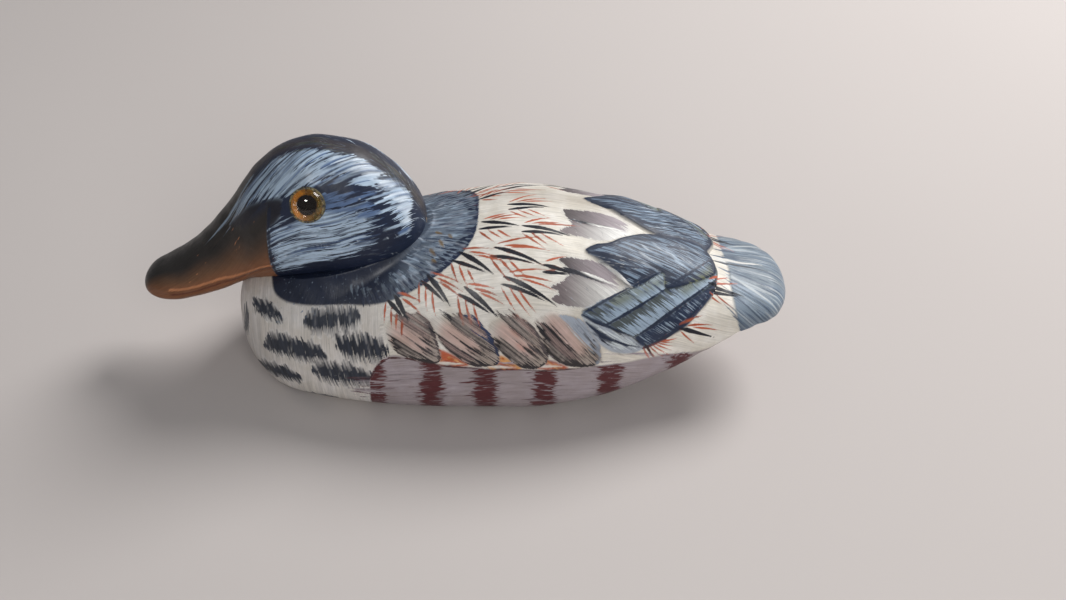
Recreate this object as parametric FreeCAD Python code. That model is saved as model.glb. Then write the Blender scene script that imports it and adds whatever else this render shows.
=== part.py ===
"""Carved wooden duck decoy: hollow two-part hull, head block and glass eyes.

Units are millimetres. +Z is up, the bill points along -X and the tail along +X, and the
duck's left side faces -Y. The origin is on the resting face, under the middle of the
overall length.
"""
import FreeCAD, Part
import math
import os

from FreeCAD import Vector

# ---------------------------------------------------------------- driving dimensions
LENGTH = 151.0            # bill tip to tail tip
HALF = LENGTH / 2

# Hull outline, from breast to tail. Each row is a station:
# x, half breadth, back height, height of the widest line, keel height.
HULL = [
    (-53.5, 13.5, 24.6, 14.0, 1.0),
    (-47.5, 16.2, 26.2, 13.5, 0.0),
    (-38.5, 21.5, 29.5, 13.5, -0.8),
    (-20.5, 26.0, 35.0, 14.5, -1.0),
    (-3.5, 27.5, 40.0, 16.0, -1.0),
    (13.5, 27.5, 43.0, 17.0, -1.0),
    (31.5, 25.5, 40.5, 18.0, 1.8),
    (47.5, 21.5, 36.0, 19.5, 8.5),
    (59.5, 17.6, 31.3, 21.0, 15.6),
    (69.5, 15.9, 27.7, 22.5, 20.4),
    (HALF, 16.2, 25.2, 22.6, 20.7),
]
# Lengths over which an end rounds off, in plan and in depth
BREAST_ROUND = (12.0, 12.0)
TAIL_ROUND = (14.0, 4.0)
# Shape of a section above and below its widest line: 2 is an ellipse, more is squarer
HULL_POWERS = (2.2, 3.4)

# Head and bill outline, from bill tip to nape: x, half width, top, widest line, underside.
HEAD = [
    (-HALF, 7.8, 23.9, 20.6, 18.4),
    (-71.5, 7.4, 25.3, 20.5, 17.9),
    (-67.0, 7.5, 28.1, 21.4, 17.4),
    (-62.5, 7.5, 31.7, 22.8, 18.4),
    (-53.5, 8.0, 42.2, 27.0, 21.4),
    (-46.0, 11.0, 52.6, 36.0, 24.4),
    (-39.5, 12.6, 57.4, 39.0, 25.0),
    (-32.5, 13.5, 59.2, 41.0, 25.5),
    (-24.5, 13.6, 57.8, 41.0, 26.0),
    (-16.5, 13.2, 53.5, 40.5, 27.0),
    (-8.5, 13.2, 48.0, 39.5, 27.5),
]
BILL_ROUND = (8.0, 4.5)
NAPE_ROUND = (14.0, 14.0)
HEAD_POWERS = (2.1, 2.1)

NOSE_POWER = 2.2          # roundness of every end: 2 is a circle
END_FLAT = 0.004          # share of a nose's length left as a tiny flat at its very end
STATIONS = 24             # spans in each loft
SECTION_POINTS = 32       # points round each section

# Neck joint: a flat seat, sloping up towards the nape, on a low neck shelf.
SEAT_FRONT = (-45.5, 27.2)          # x, z
SEAT_BACK = (-8.5, 38.8)
SHELF_TOP = (19.5, 13.2)            # half length and half width at the seat
SHELF_FOOT = (23.0, 19.5)           # the same where it runs into the back
SHELF_FOOT_Z = 22.0
SPACE_MARGIN = 2.0        # clear space cut past each end of the seat
CHIN = (-49.5, 22.9)                # x, z where the chin leaves the bill's underside

# Hull joint and hollow
SEAM_Z = 9.0
POCKET_X, POCKET_LENGTH, POCKET_WIDTH = -3.0, 62.0, 30.0
POCKET_TOP_Z, POCKET_FLOOR_Z = 23.0, 4.0

# Dowels
NECK_DOWEL_R, NECK_DOWEL_LENGTH = 3.0, 21.0
HULL_DOWEL_R, HULL_DOWEL_LENGTH = 2.0, 8.0
HULL_DOWEL_X = (-42.0, 34.0)
HULL_DOWEL_FOOT_Z = 4.8

# Ballast bar and its screws
BALLAST_LENGTH, BALLAST_WIDTH, BALLAST_HEIGHT = 44.0, 14.0, 3.5
BALLAST_X = POCKET_X
BALLAST_CORNER = 3.0
SCREW_SPACING = 30.0
SCREW_HEAD_R, SCREW_HEAD_HEIGHT = 2.0, 1.2
SCREW_SHANK_R, SCREW_SHANK_LENGTH = 1.0, 6.3
SCREW_SLOT = 0.6          # width and depth

# Glass eyes, each along its own axis that points out of the head
EYE_X, EYE_Z = -33.1, 50.4
EYE_AXIS = Vector(-0.12, -0.80, 0.42)   # left eye
GLASS_R, GLASS_EDGE, GLASS_DOME = 3.5, 0.8, 2.0
IRIS_THICKNESS, PUPIL_R = 0.4, 1.75
PUTTY_R, PUTTY_DEPTH = 3.95, 1.6
PUTTY_DIP = 0.25          # how far the putty stays below the glass's edge
EYE_PROUD = 0.55          # how far the glass's edge stands out of the cheek
PIN_R, PIN_LENGTH = 0.4, 6.0
OPEN_LENGTH = 10.0        # length of a cutter that runs out of the wood


# ---------------------------------------------------------------- shape helpers
def smooth(stations, column, x):
    """The column's value at x, on a monotone cubic through the stations."""
    xs = [row[0] for row in stations]
    ys = [row[column] for row in stations]
    steps = [b - a for a, b in zip(xs, xs[1:])]
    slopes = [(b - a) / h for a, b, h in zip(ys, ys[1:], steps)]
    tangents = [slopes[0]]
    for left, right, h0, h1 in zip(slopes, slopes[1:], steps, steps[1:]):
        if left * right <= 0:
            tangents.append(0.0)
        else:
            w0, w1 = 2 * h1 + h0, h1 + 2 * h0
            tangents.append((w0 + w1) / (w0 / left + w1 / right))
    tangents.append(slopes[-1])
    x = min(max(x, xs[0]), xs[-1])
    k = max(i for i in range(len(steps)) if xs[i] <= x)
    t = (x - xs[k]) / steps[k]
    return ((1 + 2 * t) * (1 - t) ** 2 * ys[k] + t * (1 - t) ** 2 * steps[k] * tangents[k]
            + t * t * (3 - 2 * t) * ys[k + 1] + t * t * (t - 1) * steps[k] * tangents[k + 1])


def rounding(distance, length):
    """Nearly 0 at an end, rising to 1 over length, as a rounded nose does."""
    share = min(max(distance / length, END_FLAT), 1.0)
    return (1 - (1 - share) ** NOSE_POWER) ** (1 / NOSE_POWER)


def section_points(x, half_width, top, middle, bottom, power_up, power_down):
    """Points round one section, a superellipse above and below the widest line."""
    points = []
    for i in range(SECTION_POINTS):
        angle = 2 * math.pi * (i + 0.5) / SECTION_POINTS
        c, s = math.cos(angle), math.sin(angle)
        power = power_up if s > 0 else power_down
        height = top - middle if s > 0 else middle - bottom
        y = half_width * math.copysign(abs(c) ** (2 / power), c)
        z = middle + height * math.copysign(abs(s) ** (2 / power), s)
        points.append(Vector(x, y, z))
    return points


def loft(sections):
    """A closed solid through the sections."""
    profiles = []
    for points in sections:
        curve = Part.BSplineCurve()
        curve.interpolate(Points=points, PeriodicFlag=True)
        profiles.append(Part.Wire([curve.toShape()]))
    return Part.makeLoft(profiles, True, False)


def stations_between(start, end):
    """x of each section, closer together near both ends."""
    return [start + (end - start) * (1 - math.cos(math.pi * i / STATIONS)) / 2
            for i in range(STATIONS + 1)]


def frame(origin, direction):
    """A placement whose Z axis is direction."""
    return FreeCAD.Placement(origin, FreeCAD.Rotation(Vector(0, 0, 1), direction))


def cylinder(radius, start, direction, length):
    return Part.makeCylinder(radius, length, start, direction)


def mirrored(shape):
    """The same piece on the duck's other side."""
    return shape.mirror(Vector(0, 0, 0), Vector(0, 1, 0))


def slab(low_z, high_z):
    """A box that holds everything between two heights."""
    return Part.makeBox(2 * LENGTH, 2 * LENGTH, high_z - low_z, Vector(-LENGTH, -LENGTH, low_z))


def save(name, *solids):
    shape = solids[0] if len(solids) == 1 else Part.makeCompound(list(solids))
    shape.exportStep(f"parts/{name}.step")
    print(name, "valid" if shape.isValid() else "NOT VALID", len(shape.Solids),
          "solids", round(shape.Volume, 1), "mm3")


# ---------------------------------------------------------------- outer forms
def form(stations, start_round, end_round, powers):
    """A solid through the stations, rounded off at both ends."""
    start, end = stations[0][0], stations[-1][0]
    sections = []
    for x in stations_between(start, end):
        half, top, middle, bottom = (smooth(stations, k, x) for k in (1, 2, 3, 4))
        half *= rounding(x - start, start_round[0]) * rounding(end - x, end_round[0])
        depth = rounding(x - start, start_round[1]) * rounding(end - x, end_round[1])
        top = middle + (top - middle) * depth
        bottom = middle - (middle - bottom) * depth
        sections.append(section_points(x, half, top, middle, bottom, *powers))
    return loft(sections)


def hull_form():
    """The whole hull, with its flat resting face planed at z = 0."""
    return form(HULL, BREAST_ROUND, TAIL_ROUND, HULL_POWERS).common(slab(0, LENGTH))


def head_form():
    """The head and bill before the neck seat is cut."""
    return form(HEAD, BILL_ROUND, NAPE_ROUND, HEAD_POWERS)


def seat_line():
    """The neck seat's middle, its direction up the slope and its upward normal."""
    front = Vector(SEAT_FRONT[0], 0, SEAT_FRONT[1])
    back = Vector(SEAT_BACK[0], 0, SEAT_BACK[1])
    slope = (back - front).normalize()
    return (front + back) / 2, slope, Vector(-slope.z, 0, slope.x)


def neck_cutter():
    """Everything under the seat: what is cut off the head block."""
    beyond = Vector(SEAT_BACK[0], 0, SEAT_BACK[1]) + seat_line()[1] * OPEN_LENGTH
    outline = [Vector(CHIN[0], 0, 0), Vector(CHIN[0], 0, CHIN[1]),
               Vector(SEAT_FRONT[0], 0, SEAT_FRONT[1]), beyond,
               Vector(beyond.x, 0, 0), Vector(CHIN[0], 0, 0)]
    face = Part.Face(Part.makePolygon(outline))
    face.translate(Vector(0, -LENGTH / 2, 0))
    return face.extrude(Vector(0, LENGTH, 0))


def neck_shelf():
    """The low shelf on the back that the head sits on, flat on top."""
    middle, slope, _ = seat_line()
    top = Part.Ellipse(middle + slope * SHELF_TOP[0], middle + Vector(0, SHELF_TOP[1], 0), middle)
    foot_middle = Vector(middle.x, 0, SHELF_FOOT_Z)
    foot = Part.Ellipse(foot_middle + Vector(SHELF_FOOT[0], 0, 0),
                        foot_middle + Vector(0, SHELF_FOOT[1], 0), foot_middle)
    wires = [Part.Wire([e.toShape()]) for e in (foot, top)]
    return Part.makeLoft(wires, True, True)


def head_space():
    """The space above the neck seat that the head block stands in."""
    middle, slope, normal = seat_line()
    reach = SHELF_TOP[0] + SPACE_MARGIN
    box = Part.makeBox(2 * reach, HALF, HALF, Vector(-reach, -HALF / 2, 0))
    box.Placement = FreeCAD.Placement(middle, FreeCAD.Rotation(slope, Vector(0, 1, 0), normal))
    return box


# ---------------------------------------------------------------- pieces
def pocket(low_z, high_z):
    """The routed hollow between two heights, a slot with round ends."""
    r = POCKET_WIDTH / 2
    reach = POCKET_LENGTH / 2 - r
    low = Vector(POCKET_X - reach, -r, low_z)
    bar = Part.makeBox(2 * reach, 2 * r, high_z - low_z, low)
    ends = [cylinder(r, Vector(POCKET_X + side * reach, 0, low_z), Vector(0, 0, 1),
                     high_z - low_z) for side in (-1, 1)]
    return bar.multiFuse(ends).removeSplitter()


def neck_dowel():
    middle, _, normal = seat_line()
    return cylinder(NECK_DOWEL_R, middle - normal * NECK_DOWEL_LENGTH / 2, normal,
                    NECK_DOWEL_LENGTH)


def hull_dowels():
    return [cylinder(HULL_DOWEL_R, Vector(x, 0, HULL_DOWEL_FOOT_Z), Vector(0, 0, 1),
                     HULL_DOWEL_LENGTH) for x in HULL_DOWEL_X]


def screw_places():
    top = POCKET_FLOOR_Z + BALLAST_HEIGHT
    return [Vector(BALLAST_X + side * SCREW_SPACING / 2, 0, top) for side in (-1, 1)]


def screws():
    """Two round-headed brass screws, points down."""
    made = []
    for place in screw_places():
        head = cylinder(SCREW_HEAD_R, place, Vector(0, 0, 1), SCREW_HEAD_HEIGHT)
        shank = cylinder(SCREW_SHANK_R, place, Vector(0, 0, -1), SCREW_SHANK_LENGTH)
        corner = Vector(-SCREW_HEAD_R, -SCREW_SLOT / 2, SCREW_HEAD_HEIGHT - SCREW_SLOT)
        slot = Part.makeBox(2 * SCREW_HEAD_R, SCREW_SLOT, SCREW_SLOT, place + corner)
        made.append(head.fuse(shank).cut(slot).removeSplitter())
    return made


def screw_holes():
    return [cylinder(SCREW_SHANK_R, place, Vector(0, 0, -1), SCREW_SHANK_LENGTH)
            for place in screw_places()]


def ballast():
    """Flat lead bar with rounded corners, drilled for its two screws."""
    corner = Vector(BALLAST_X - BALLAST_LENGTH / 2, -BALLAST_WIDTH / 2, POCKET_FLOOR_Z)
    bar = Part.makeBox(BALLAST_LENGTH, BALLAST_WIDTH, BALLAST_HEIGHT, corner)
    upright = [e for e in bar.Edges if abs(e.tangentAt(e.FirstParameter).z) > 0.99]
    bar = bar.makeFillet(BALLAST_CORNER, upright)
    return bar.cut(Part.makeCompound(screw_holes()))


def eye_frame(head):
    """Placement of the left eye: its origin on the cheek, its Z axis pointing out."""
    line = Part.makeLine(Vector(EYE_X, -HALF, EYE_Z), Vector(EYE_X, 0, EYE_Z))
    inside = head.common(line)
    skin_y = inside.BoundBox.YMin
    return frame(Vector(EYE_X, skin_y, EYE_Z), EYE_AXIS)


def eye_pieces(place):
    """The left eye's glass, iris, pupil, putty ring and pin, and the socket they sit in."""
    z = Vector(0, 0, 1)
    base = EYE_PROUD - GLASS_EDGE                       # back of the glass, from the cheek
    dome_r = (GLASS_R ** 2 + GLASS_DOME ** 2) / (2 * GLASS_DOME)
    rim = cylinder(GLASS_R, Vector(0, 0, base), z, OPEN_LENGTH)
    ball = Part.makeSphere(dome_r, Vector(0, 0, EYE_PROUD + GLASS_DOME - dome_r))
    glass = rim.common(ball)
    back = Vector(0, 0, base - IRIS_THICKNESS)
    pupil = cylinder(PUPIL_R, back, z, IRIS_THICKNESS)
    iris = cylinder(GLASS_R, back, z, IRIS_THICKNESS).cut(pupil)
    floor = Vector(0, 0, EYE_PROUD - PUTTY_DEPTH)
    core = cylinder(GLASS_R, floor, z, OPEN_LENGTH)
    putty = cylinder(PUTTY_R, floor, z, PUTTY_DEPTH - PUTTY_DIP).cut(core)
    bed = cylinder(GLASS_R, floor, z, back.z - floor.z)
    pin = cylinder(PIN_R, back, -z, PIN_LENGTH)
    putty = putty.fuse(bed).cut(pin).removeSplitter()
    socket = cylinder(PUTTY_R, floor, z, OPEN_LENGTH).fuse(pin)
    pieces = {"eye_glass": glass, "eye_iris": iris, "eye_pupil": pupil,
              "eye_putty": putty, "eye_pin": pin}
    for shape in (*pieces.values(), socket):
        shape.Placement = place.multiply(shape.Placement)
    return pieces, socket


def build():
    os.makedirs("parts", exist_ok=True)
    hull, head, cutter, dowel = hull_form(), head_form(), neck_cutter(), neck_dowel()
    eyes, socket = eye_pieces(eye_frame(head))
    inner_dowels = Part.makeCompound(hull_dowels())

    upper = hull.common(slab(SEAM_Z, LENGTH)).fuse(neck_shelf()).removeSplitter()
    upper = upper.cut(head_space()).cut(pocket(SEAM_Z - OPEN_LENGTH, POCKET_TOP_Z))
    upper = upper.cut(dowel).cut(inner_dowels)
    lower = hull.common(slab(0, SEAM_Z)).cut(pocket(POCKET_FLOOR_Z, SEAM_Z + OPEN_LENGTH))
    lower = lower.cut(inner_dowels).cut(Part.makeCompound(screw_holes()))
    block = head.cut(cutter).cut(dowel).cut(socket).cut(mirrored(socket))

    save("hull_upper", upper)
    save("hull_lower", lower)
    save("head_block", block)
    save("neck_dowel", dowel)
    save("hull_dowels", *hull_dowels())
    save("ballast_bar", ballast())
    save("ballast_screws", *screws())
    for name, piece in eyes.items():
        save(f"{name}_left", piece)
        save(f"{name}_right", mirrored(piece))


build()
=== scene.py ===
"""Looks for the carved wooden duck decoy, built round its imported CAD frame.

The hull and head are dense skins over the same outlines as the solids, with the wings, the bill
and the eye sockets carved into them. Their plumage is laid out on flat sheets: x runs along the
duck and g runs round it from the line of the back, both in millimetres, with g > 0 on the left.
Each sheet holds what a painter would put on: ground colours, broad brushwork and fine strokes.
"""
import math

import bmesh
import bpy
import numpy as np
from mathutils import Matrix, Vector


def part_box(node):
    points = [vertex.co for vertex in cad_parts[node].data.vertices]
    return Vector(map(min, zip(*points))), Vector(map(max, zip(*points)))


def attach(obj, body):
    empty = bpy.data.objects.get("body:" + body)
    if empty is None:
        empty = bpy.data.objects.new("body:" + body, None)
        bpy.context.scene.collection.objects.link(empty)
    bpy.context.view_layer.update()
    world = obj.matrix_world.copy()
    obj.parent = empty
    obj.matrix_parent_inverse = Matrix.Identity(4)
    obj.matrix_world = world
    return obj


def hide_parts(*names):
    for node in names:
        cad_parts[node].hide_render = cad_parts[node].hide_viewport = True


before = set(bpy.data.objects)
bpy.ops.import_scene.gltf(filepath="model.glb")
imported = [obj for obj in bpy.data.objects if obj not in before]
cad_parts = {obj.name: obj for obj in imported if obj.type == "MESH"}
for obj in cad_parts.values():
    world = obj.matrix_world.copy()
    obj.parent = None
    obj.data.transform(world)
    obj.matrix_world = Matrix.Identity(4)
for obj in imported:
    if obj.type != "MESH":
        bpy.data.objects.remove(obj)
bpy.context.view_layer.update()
rng = np.random.default_rng(7)

MM = 0.001
SKIN_STEP = 0.27          # mm between the points of a skin
SHEET_STEP = 0.20         # mm between the points of a sheet
TOP_SHIFT, SHIFTED_G, EVEN_G = 4, 12, 27      # mm: the right side's shift up to one g, and g where it ends

# ---- outlines, as in the CAD part
HALF = 75.5
# x, half breadth, back height, height of the widest line, keel height
HULL = np.array([
    (-53.5, 13.5, 24.6, 14.0, 1.0), (-47.5, 16.2, 26.2, 13.5, 0.0),
    (-38.5, 21.5, 29.5, 13.5, -0.8), (-20.5, 26.0, 35.0, 14.5, -1.0),
    (-3.5, 27.5, 40.0, 16.0, -1.0), (13.5, 27.5, 43.0, 17.0, -1.0),
    (31.5, 25.5, 40.5, 18.0, 1.8), (47.5, 21.5, 36.0, 19.5, 8.5),
    (59.5, 17.6, 31.3, 21.0, 15.6), (69.5, 15.9, 27.7, 22.5, 20.4),
    (HALF, 16.2, 25.2, 22.6, 20.7)])
# x, half width, top, widest line, underside
HEAD = np.array([
    (-HALF, 7.8, 23.9, 20.6, 18.4), (-71.5, 7.4, 25.3, 20.5, 17.9),
    (-67.0, 7.5, 28.1, 21.4, 17.4), (-62.5, 7.5, 31.7, 22.8, 18.4),
    (-53.5, 8.0, 42.2, 27.0, 21.4), (-46.0, 11.0, 52.6, 36.0, 24.4),
    (-39.5, 12.6, 57.4, 39.0, 25.0), (-32.5, 13.5, 59.2, 41.0, 25.5),
    (-24.5, 13.6, 57.8, 41.0, 26.0), (-16.5, 13.2, 53.5, 40.5, 27.0),
    (-8.5, 13.2, 48.0, 39.5, 27.5)])
HULL_ROUNDS = (12.0, 12.0, 14.0, 4.0)     # breast in plan and depth, tail in plan and depth
HEAD_ROUNDS = (8.0, 4.5, 14.0, 14.0)      # bill tip in plan and depth, nape in plan and depth
HULL_POWERS, HEAD_POWERS = (2.2, 3.4), (2.1, 2.1)     # superellipse powers above and below the widest line
SEAM_Z = 9.0
POCKET_X, POCKET_REACH, POCKET_R, POCKET_TOP_Z, POCKET_FLOOR_Z = -3.0, 16.0, 15.0, 23.0, 4.0
SEAT_FRONT, SEAT_BACK, CHIN = (-45.5, 27.2), (-8.5, 38.8), (-49.5, 22.9)
SHELF_TOP, SHELF_FOOT, SHELF_FOOT_Z = (19.5, 13.2), (23.0, 19.5), 22.0
EYE_AXIS = np.array([-0.12, -0.80, 0.42])
EYE_AXIS = EYE_AXIS / np.linalg.norm(EYE_AXIS)
SOCKET_R, SOCKET_FLOOR, LID_R, LID_HEIGHT = 3.72, -0.75, 4.9, 0.12


def smooth(stations, column, x):
    """The column's value at x, on a monotone cubic through the stations."""
    xs, ys = stations[:, 0], stations[:, column]
    step = np.diff(xs)
    slope = np.diff(ys) / step
    tangent = np.concatenate([slope[:1], np.zeros(len(xs) - 2), slope[-1:]])
    for i in range(1, len(xs) - 1):
        if slope[i - 1] * slope[i] > 0:
            w0, w1 = 2 * step[i] + step[i - 1], step[i] + 2 * step[i - 1]
            tangent[i] = (w0 + w1) / (w0 / slope[i - 1] + w1 / slope[i])
    x = np.clip(x, xs[0], xs[-1])
    k = np.clip(np.searchsorted(xs, x, side="right") - 1, 0, len(step) - 1)
    t = (x - xs[k]) / step[k]
    return ((1 + 2 * t) * (1 - t) ** 2 * ys[k] + t * (1 - t) ** 2 * step[k] * tangent[k]
            + t * t * (3 - 2 * t) * ys[k + 1] + t * t * (t - 1) * step[k] * tangent[k + 1])


def rounding(distance, length):
    """0 at an end, then nearly 0 and rising to 1 over length, as a rounded nose does."""
    share = np.clip(distance / length, 0.004, 1.0)
    return np.where(distance > 1e-9, (1 - (1 - share) ** 2.2) ** (1 / 2.2), 0.0)


def soft_step(depth, width):
    """0 outside, 1 inside, straight between over the width."""
    return np.clip(depth / width + 0.5, 0, 1)


def bell(value, middle, width):
    """1 at the middle, falling to 0 on both sides."""
    return np.exp(-((value - middle) / width) ** 2)


def direction(angle):
    """Cosine and sine of an angle in degrees."""
    return math.cos(math.radians(angle)), math.sin(math.radians(angle))


def off_segment(x, g, a, b):
    """How far along the line from a to b each point lies, 0 to 1, and how far from it."""
    d = b - a
    t = np.clip(((x - a[0]) * d[0] + (g - a[1]) * d[1]) / max(d @ d, 1e-9), 0, 1)
    return t, np.hypot(x - a[0] - t * d[0], g - a[1] - t * d[1])


def outline(stations, rounds, x):
    """Half breadth, top, widest line and bottom at x."""
    half, top, middle, bottom = (smooth(stations, k, x) for k in (1, 2, 3, 4))
    from_start, to_end = x - stations[0, 0], stations[-1, 0] - x
    half = half * rounding(from_start, rounds[0]) * rounding(to_end, rounds[2])
    depth = rounding(from_start, rounds[1]) * rounding(to_end, rounds[3])
    return half, middle + (top - middle) * depth, middle, middle - (middle - bottom) * depth


def section(half, top, middle, bottom, powers, t):
    """y and z round one section: t is 0 on the left side's widest line and pi / 2 on top."""
    c, s = np.cos(t), np.sin(t)
    power = np.where(s > 0, powers[0], powers[1])
    y = -half * np.sign(c) * np.abs(c) ** (2 / power)
    z = middle + np.where(s > 0, top - middle, middle - bottom) * np.sign(s) * np.abs(s) ** (2 / power)
    return y, z


def ease(value, low, high):
    """0 at low, 1 at high, smooth between."""
    t = np.clip((value - low) / (high - low), 0, 1)
    return t * t * (3 - 2 * t)


# ---- skins
class Skin:
    """A grid of points over one form: columns along x, rows round it at even distances.

    above keeps what lies over a cutting height, below what lies under it.
    """

    def __init__(self, stations, rounds, powers, rows, above=None, below=None, step=SKIN_STEP):
        start, end = stations[0, 0], stations[-1, 0]
        columns = int((end - start) * math.pi / 2 / step)
        x = start + (end - start) * (1 - np.cos(np.pi * np.linspace(0, 1, columns))) / 2
        half, top, middle, bottom = outline(stations, rounds, x)
        cut = above(x) if above else below(x)
        keep = np.full(columns, True) if above else bottom < cut - 0.01
        self.x, half, top, middle, bottom, self.cut = (v[keep] for v in (x, half, top, middle, bottom, cut))
        self.open = bottom < self.cut                  # columns that the cut runs through
        share = np.linspace(0, 1, rows)
        self.y, self.z, self.g = (np.zeros((len(self.x), rows)) for _ in range(3))
        quarter = 600
        angle = np.linspace(-np.pi / 2, 1.5 * np.pi, 4 * quarter + 1)
        up = slice(0, 2 * quarter + 1)                 # the left side, from the keel to the top
        for i in range(len(self.x)):
            y, z = section(half[i], top[i], middle[i], bottom[i], powers, angle)
            length = np.concatenate([[0], np.cumsum(np.hypot(np.diff(y), np.diff(z)))])
            girth = length[2 * quarter] - length       # from the top line, positive on the left
            edge = np.interp(self.cut[i], z[up], girth[up])
            if above:                                  # most rows lie over the widest line
                widest = girth[quarter]
                self.g[i] = np.interp(share, (0, 0.1, 0.9, 1), (edge, widest, -widest, -edge))
                self.y[i] = np.interp(-self.g[i], -girth, y)
                self.z[i] = np.interp(-self.g[i], -girth, z)
            else:                                      # from the left edge round under the keel
                keel = girth[0]
                place = edge + share * 2 * (keel - edge)
                whole = np.concatenate([girth[up][::-1], 2 * keel - girth[up]])
                self.y[i] = np.interp(place, whole, np.concatenate([y[up][::-1], -y[up]]))
                self.z[i] = np.interp(place, whole, np.concatenate([z[up][::-1], z[up]]))
                self.g[i] = np.where(share <= 0.5, place, place - 2 * keel)
        self.X = np.repeat(self.x[:, None], rows, axis=1)

    def points(self):
        return np.stack([self.X, self.y, self.z], axis=-1)

    def normals(self):
        p = self.points()
        along, across = np.gradient(p, axis=0), np.gradient(p, axis=1)
        normal = np.cross(across, along)
        normal /= np.maximum(np.linalg.norm(normal, axis=-1, keepdims=True), 1e-9)
        middle = p.mean(axis=1, keepdims=True)
        return normal if (normal * (p - middle)).sum() > 0 else -normal


# ---- colours
def colour(red, green, blue):
    """Linear colour from 0 to 255 screen values."""
    c = np.array([red, green, blue]) / 255
    return np.where(c <= 0.04045, c / 12.92, ((c + 0.055) / 1.055) ** 2.4)


CREAM, BREAST_WHITE, WHITE = colour(230, 226, 218), colour(212, 208, 204), colour(238, 237, 233)
CHARCOAL, BLACK, NAVY = colour(44, 49, 60), colour(24, 25, 36), colour(26, 37, 62)
DUSTY_BLUE, PALE_BLUE, BRIGHT_BLUE = colour(112, 126, 142), colour(168, 188, 208), colour(208, 220, 232)
WING_BLUE, WING_DARK, OLIVE = colour(122, 141, 162), colour(38, 50, 74), colour(98, 102, 74)
TAIL_BLUE, TAIL_PALE, TAIL_DARK = colour(146, 162, 178), colour(206, 214, 218), colour(88, 102, 120)
RUST, ORANGE, FILLER = colour(180, 92, 62), colour(214, 108, 48), colour(112, 92, 62)
MAUVE, MAROON, SILVER = colour(162, 152, 157), colour(86, 38, 42), colour(158, 166, 178)
PINK, HATCH, TAUPE = colour(206, 178, 170), colour(50, 46, 48), colour(104, 94, 96)
BEIGE, PEACH, MID_BLUE = colour(172, 160, 152), colour(224, 164, 104), colour(88, 112, 150)
BILL_DARK, BILL_BROWN, BILL_ORANGE = colour(38, 34, 32), colour(108, 76, 52), colour(136, 88, 58)
# The last brown here is a glaze on the head, and painted shade along the back of the hull
BILL_LIGHT, MOUTH_RED, GLAZE_AND_SHADE_BROWN = colour(178, 118, 80), colour(92, 44, 32), colour(92, 76, 58)


# ---- sheets
def bezier(points, count=14):
    """Points along the curve that the given 2 to 4 points shape."""
    p = np.array(points, float)[:, None, :]
    t = np.linspace(0, 1, count)[:, None]
    while len(p) > 1:
        p = p[:-1] * (1 - t) + p[1:] * t
    return p[0]


def rounded(points, count=6):
    """A closed smooth outline through the points."""
    p = np.array(points, float)
    before, after, second = np.roll(p, 1, 0), np.roll(p, -1, 0), np.roll(p, -2, 0)
    t = (np.arange(count) / count)[None, :, None]
    a, b, c, d = (v[:, None, :] for v in (before, p, after, second))
    curve = 0.5 * (2 * b + (c - a) * t + (2 * a - 5 * b + 4 * c - d) * t ** 2
                   + (3 * b - a - 3 * c + d) * t ** 3)
    return curve.reshape(-1, 2)


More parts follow.
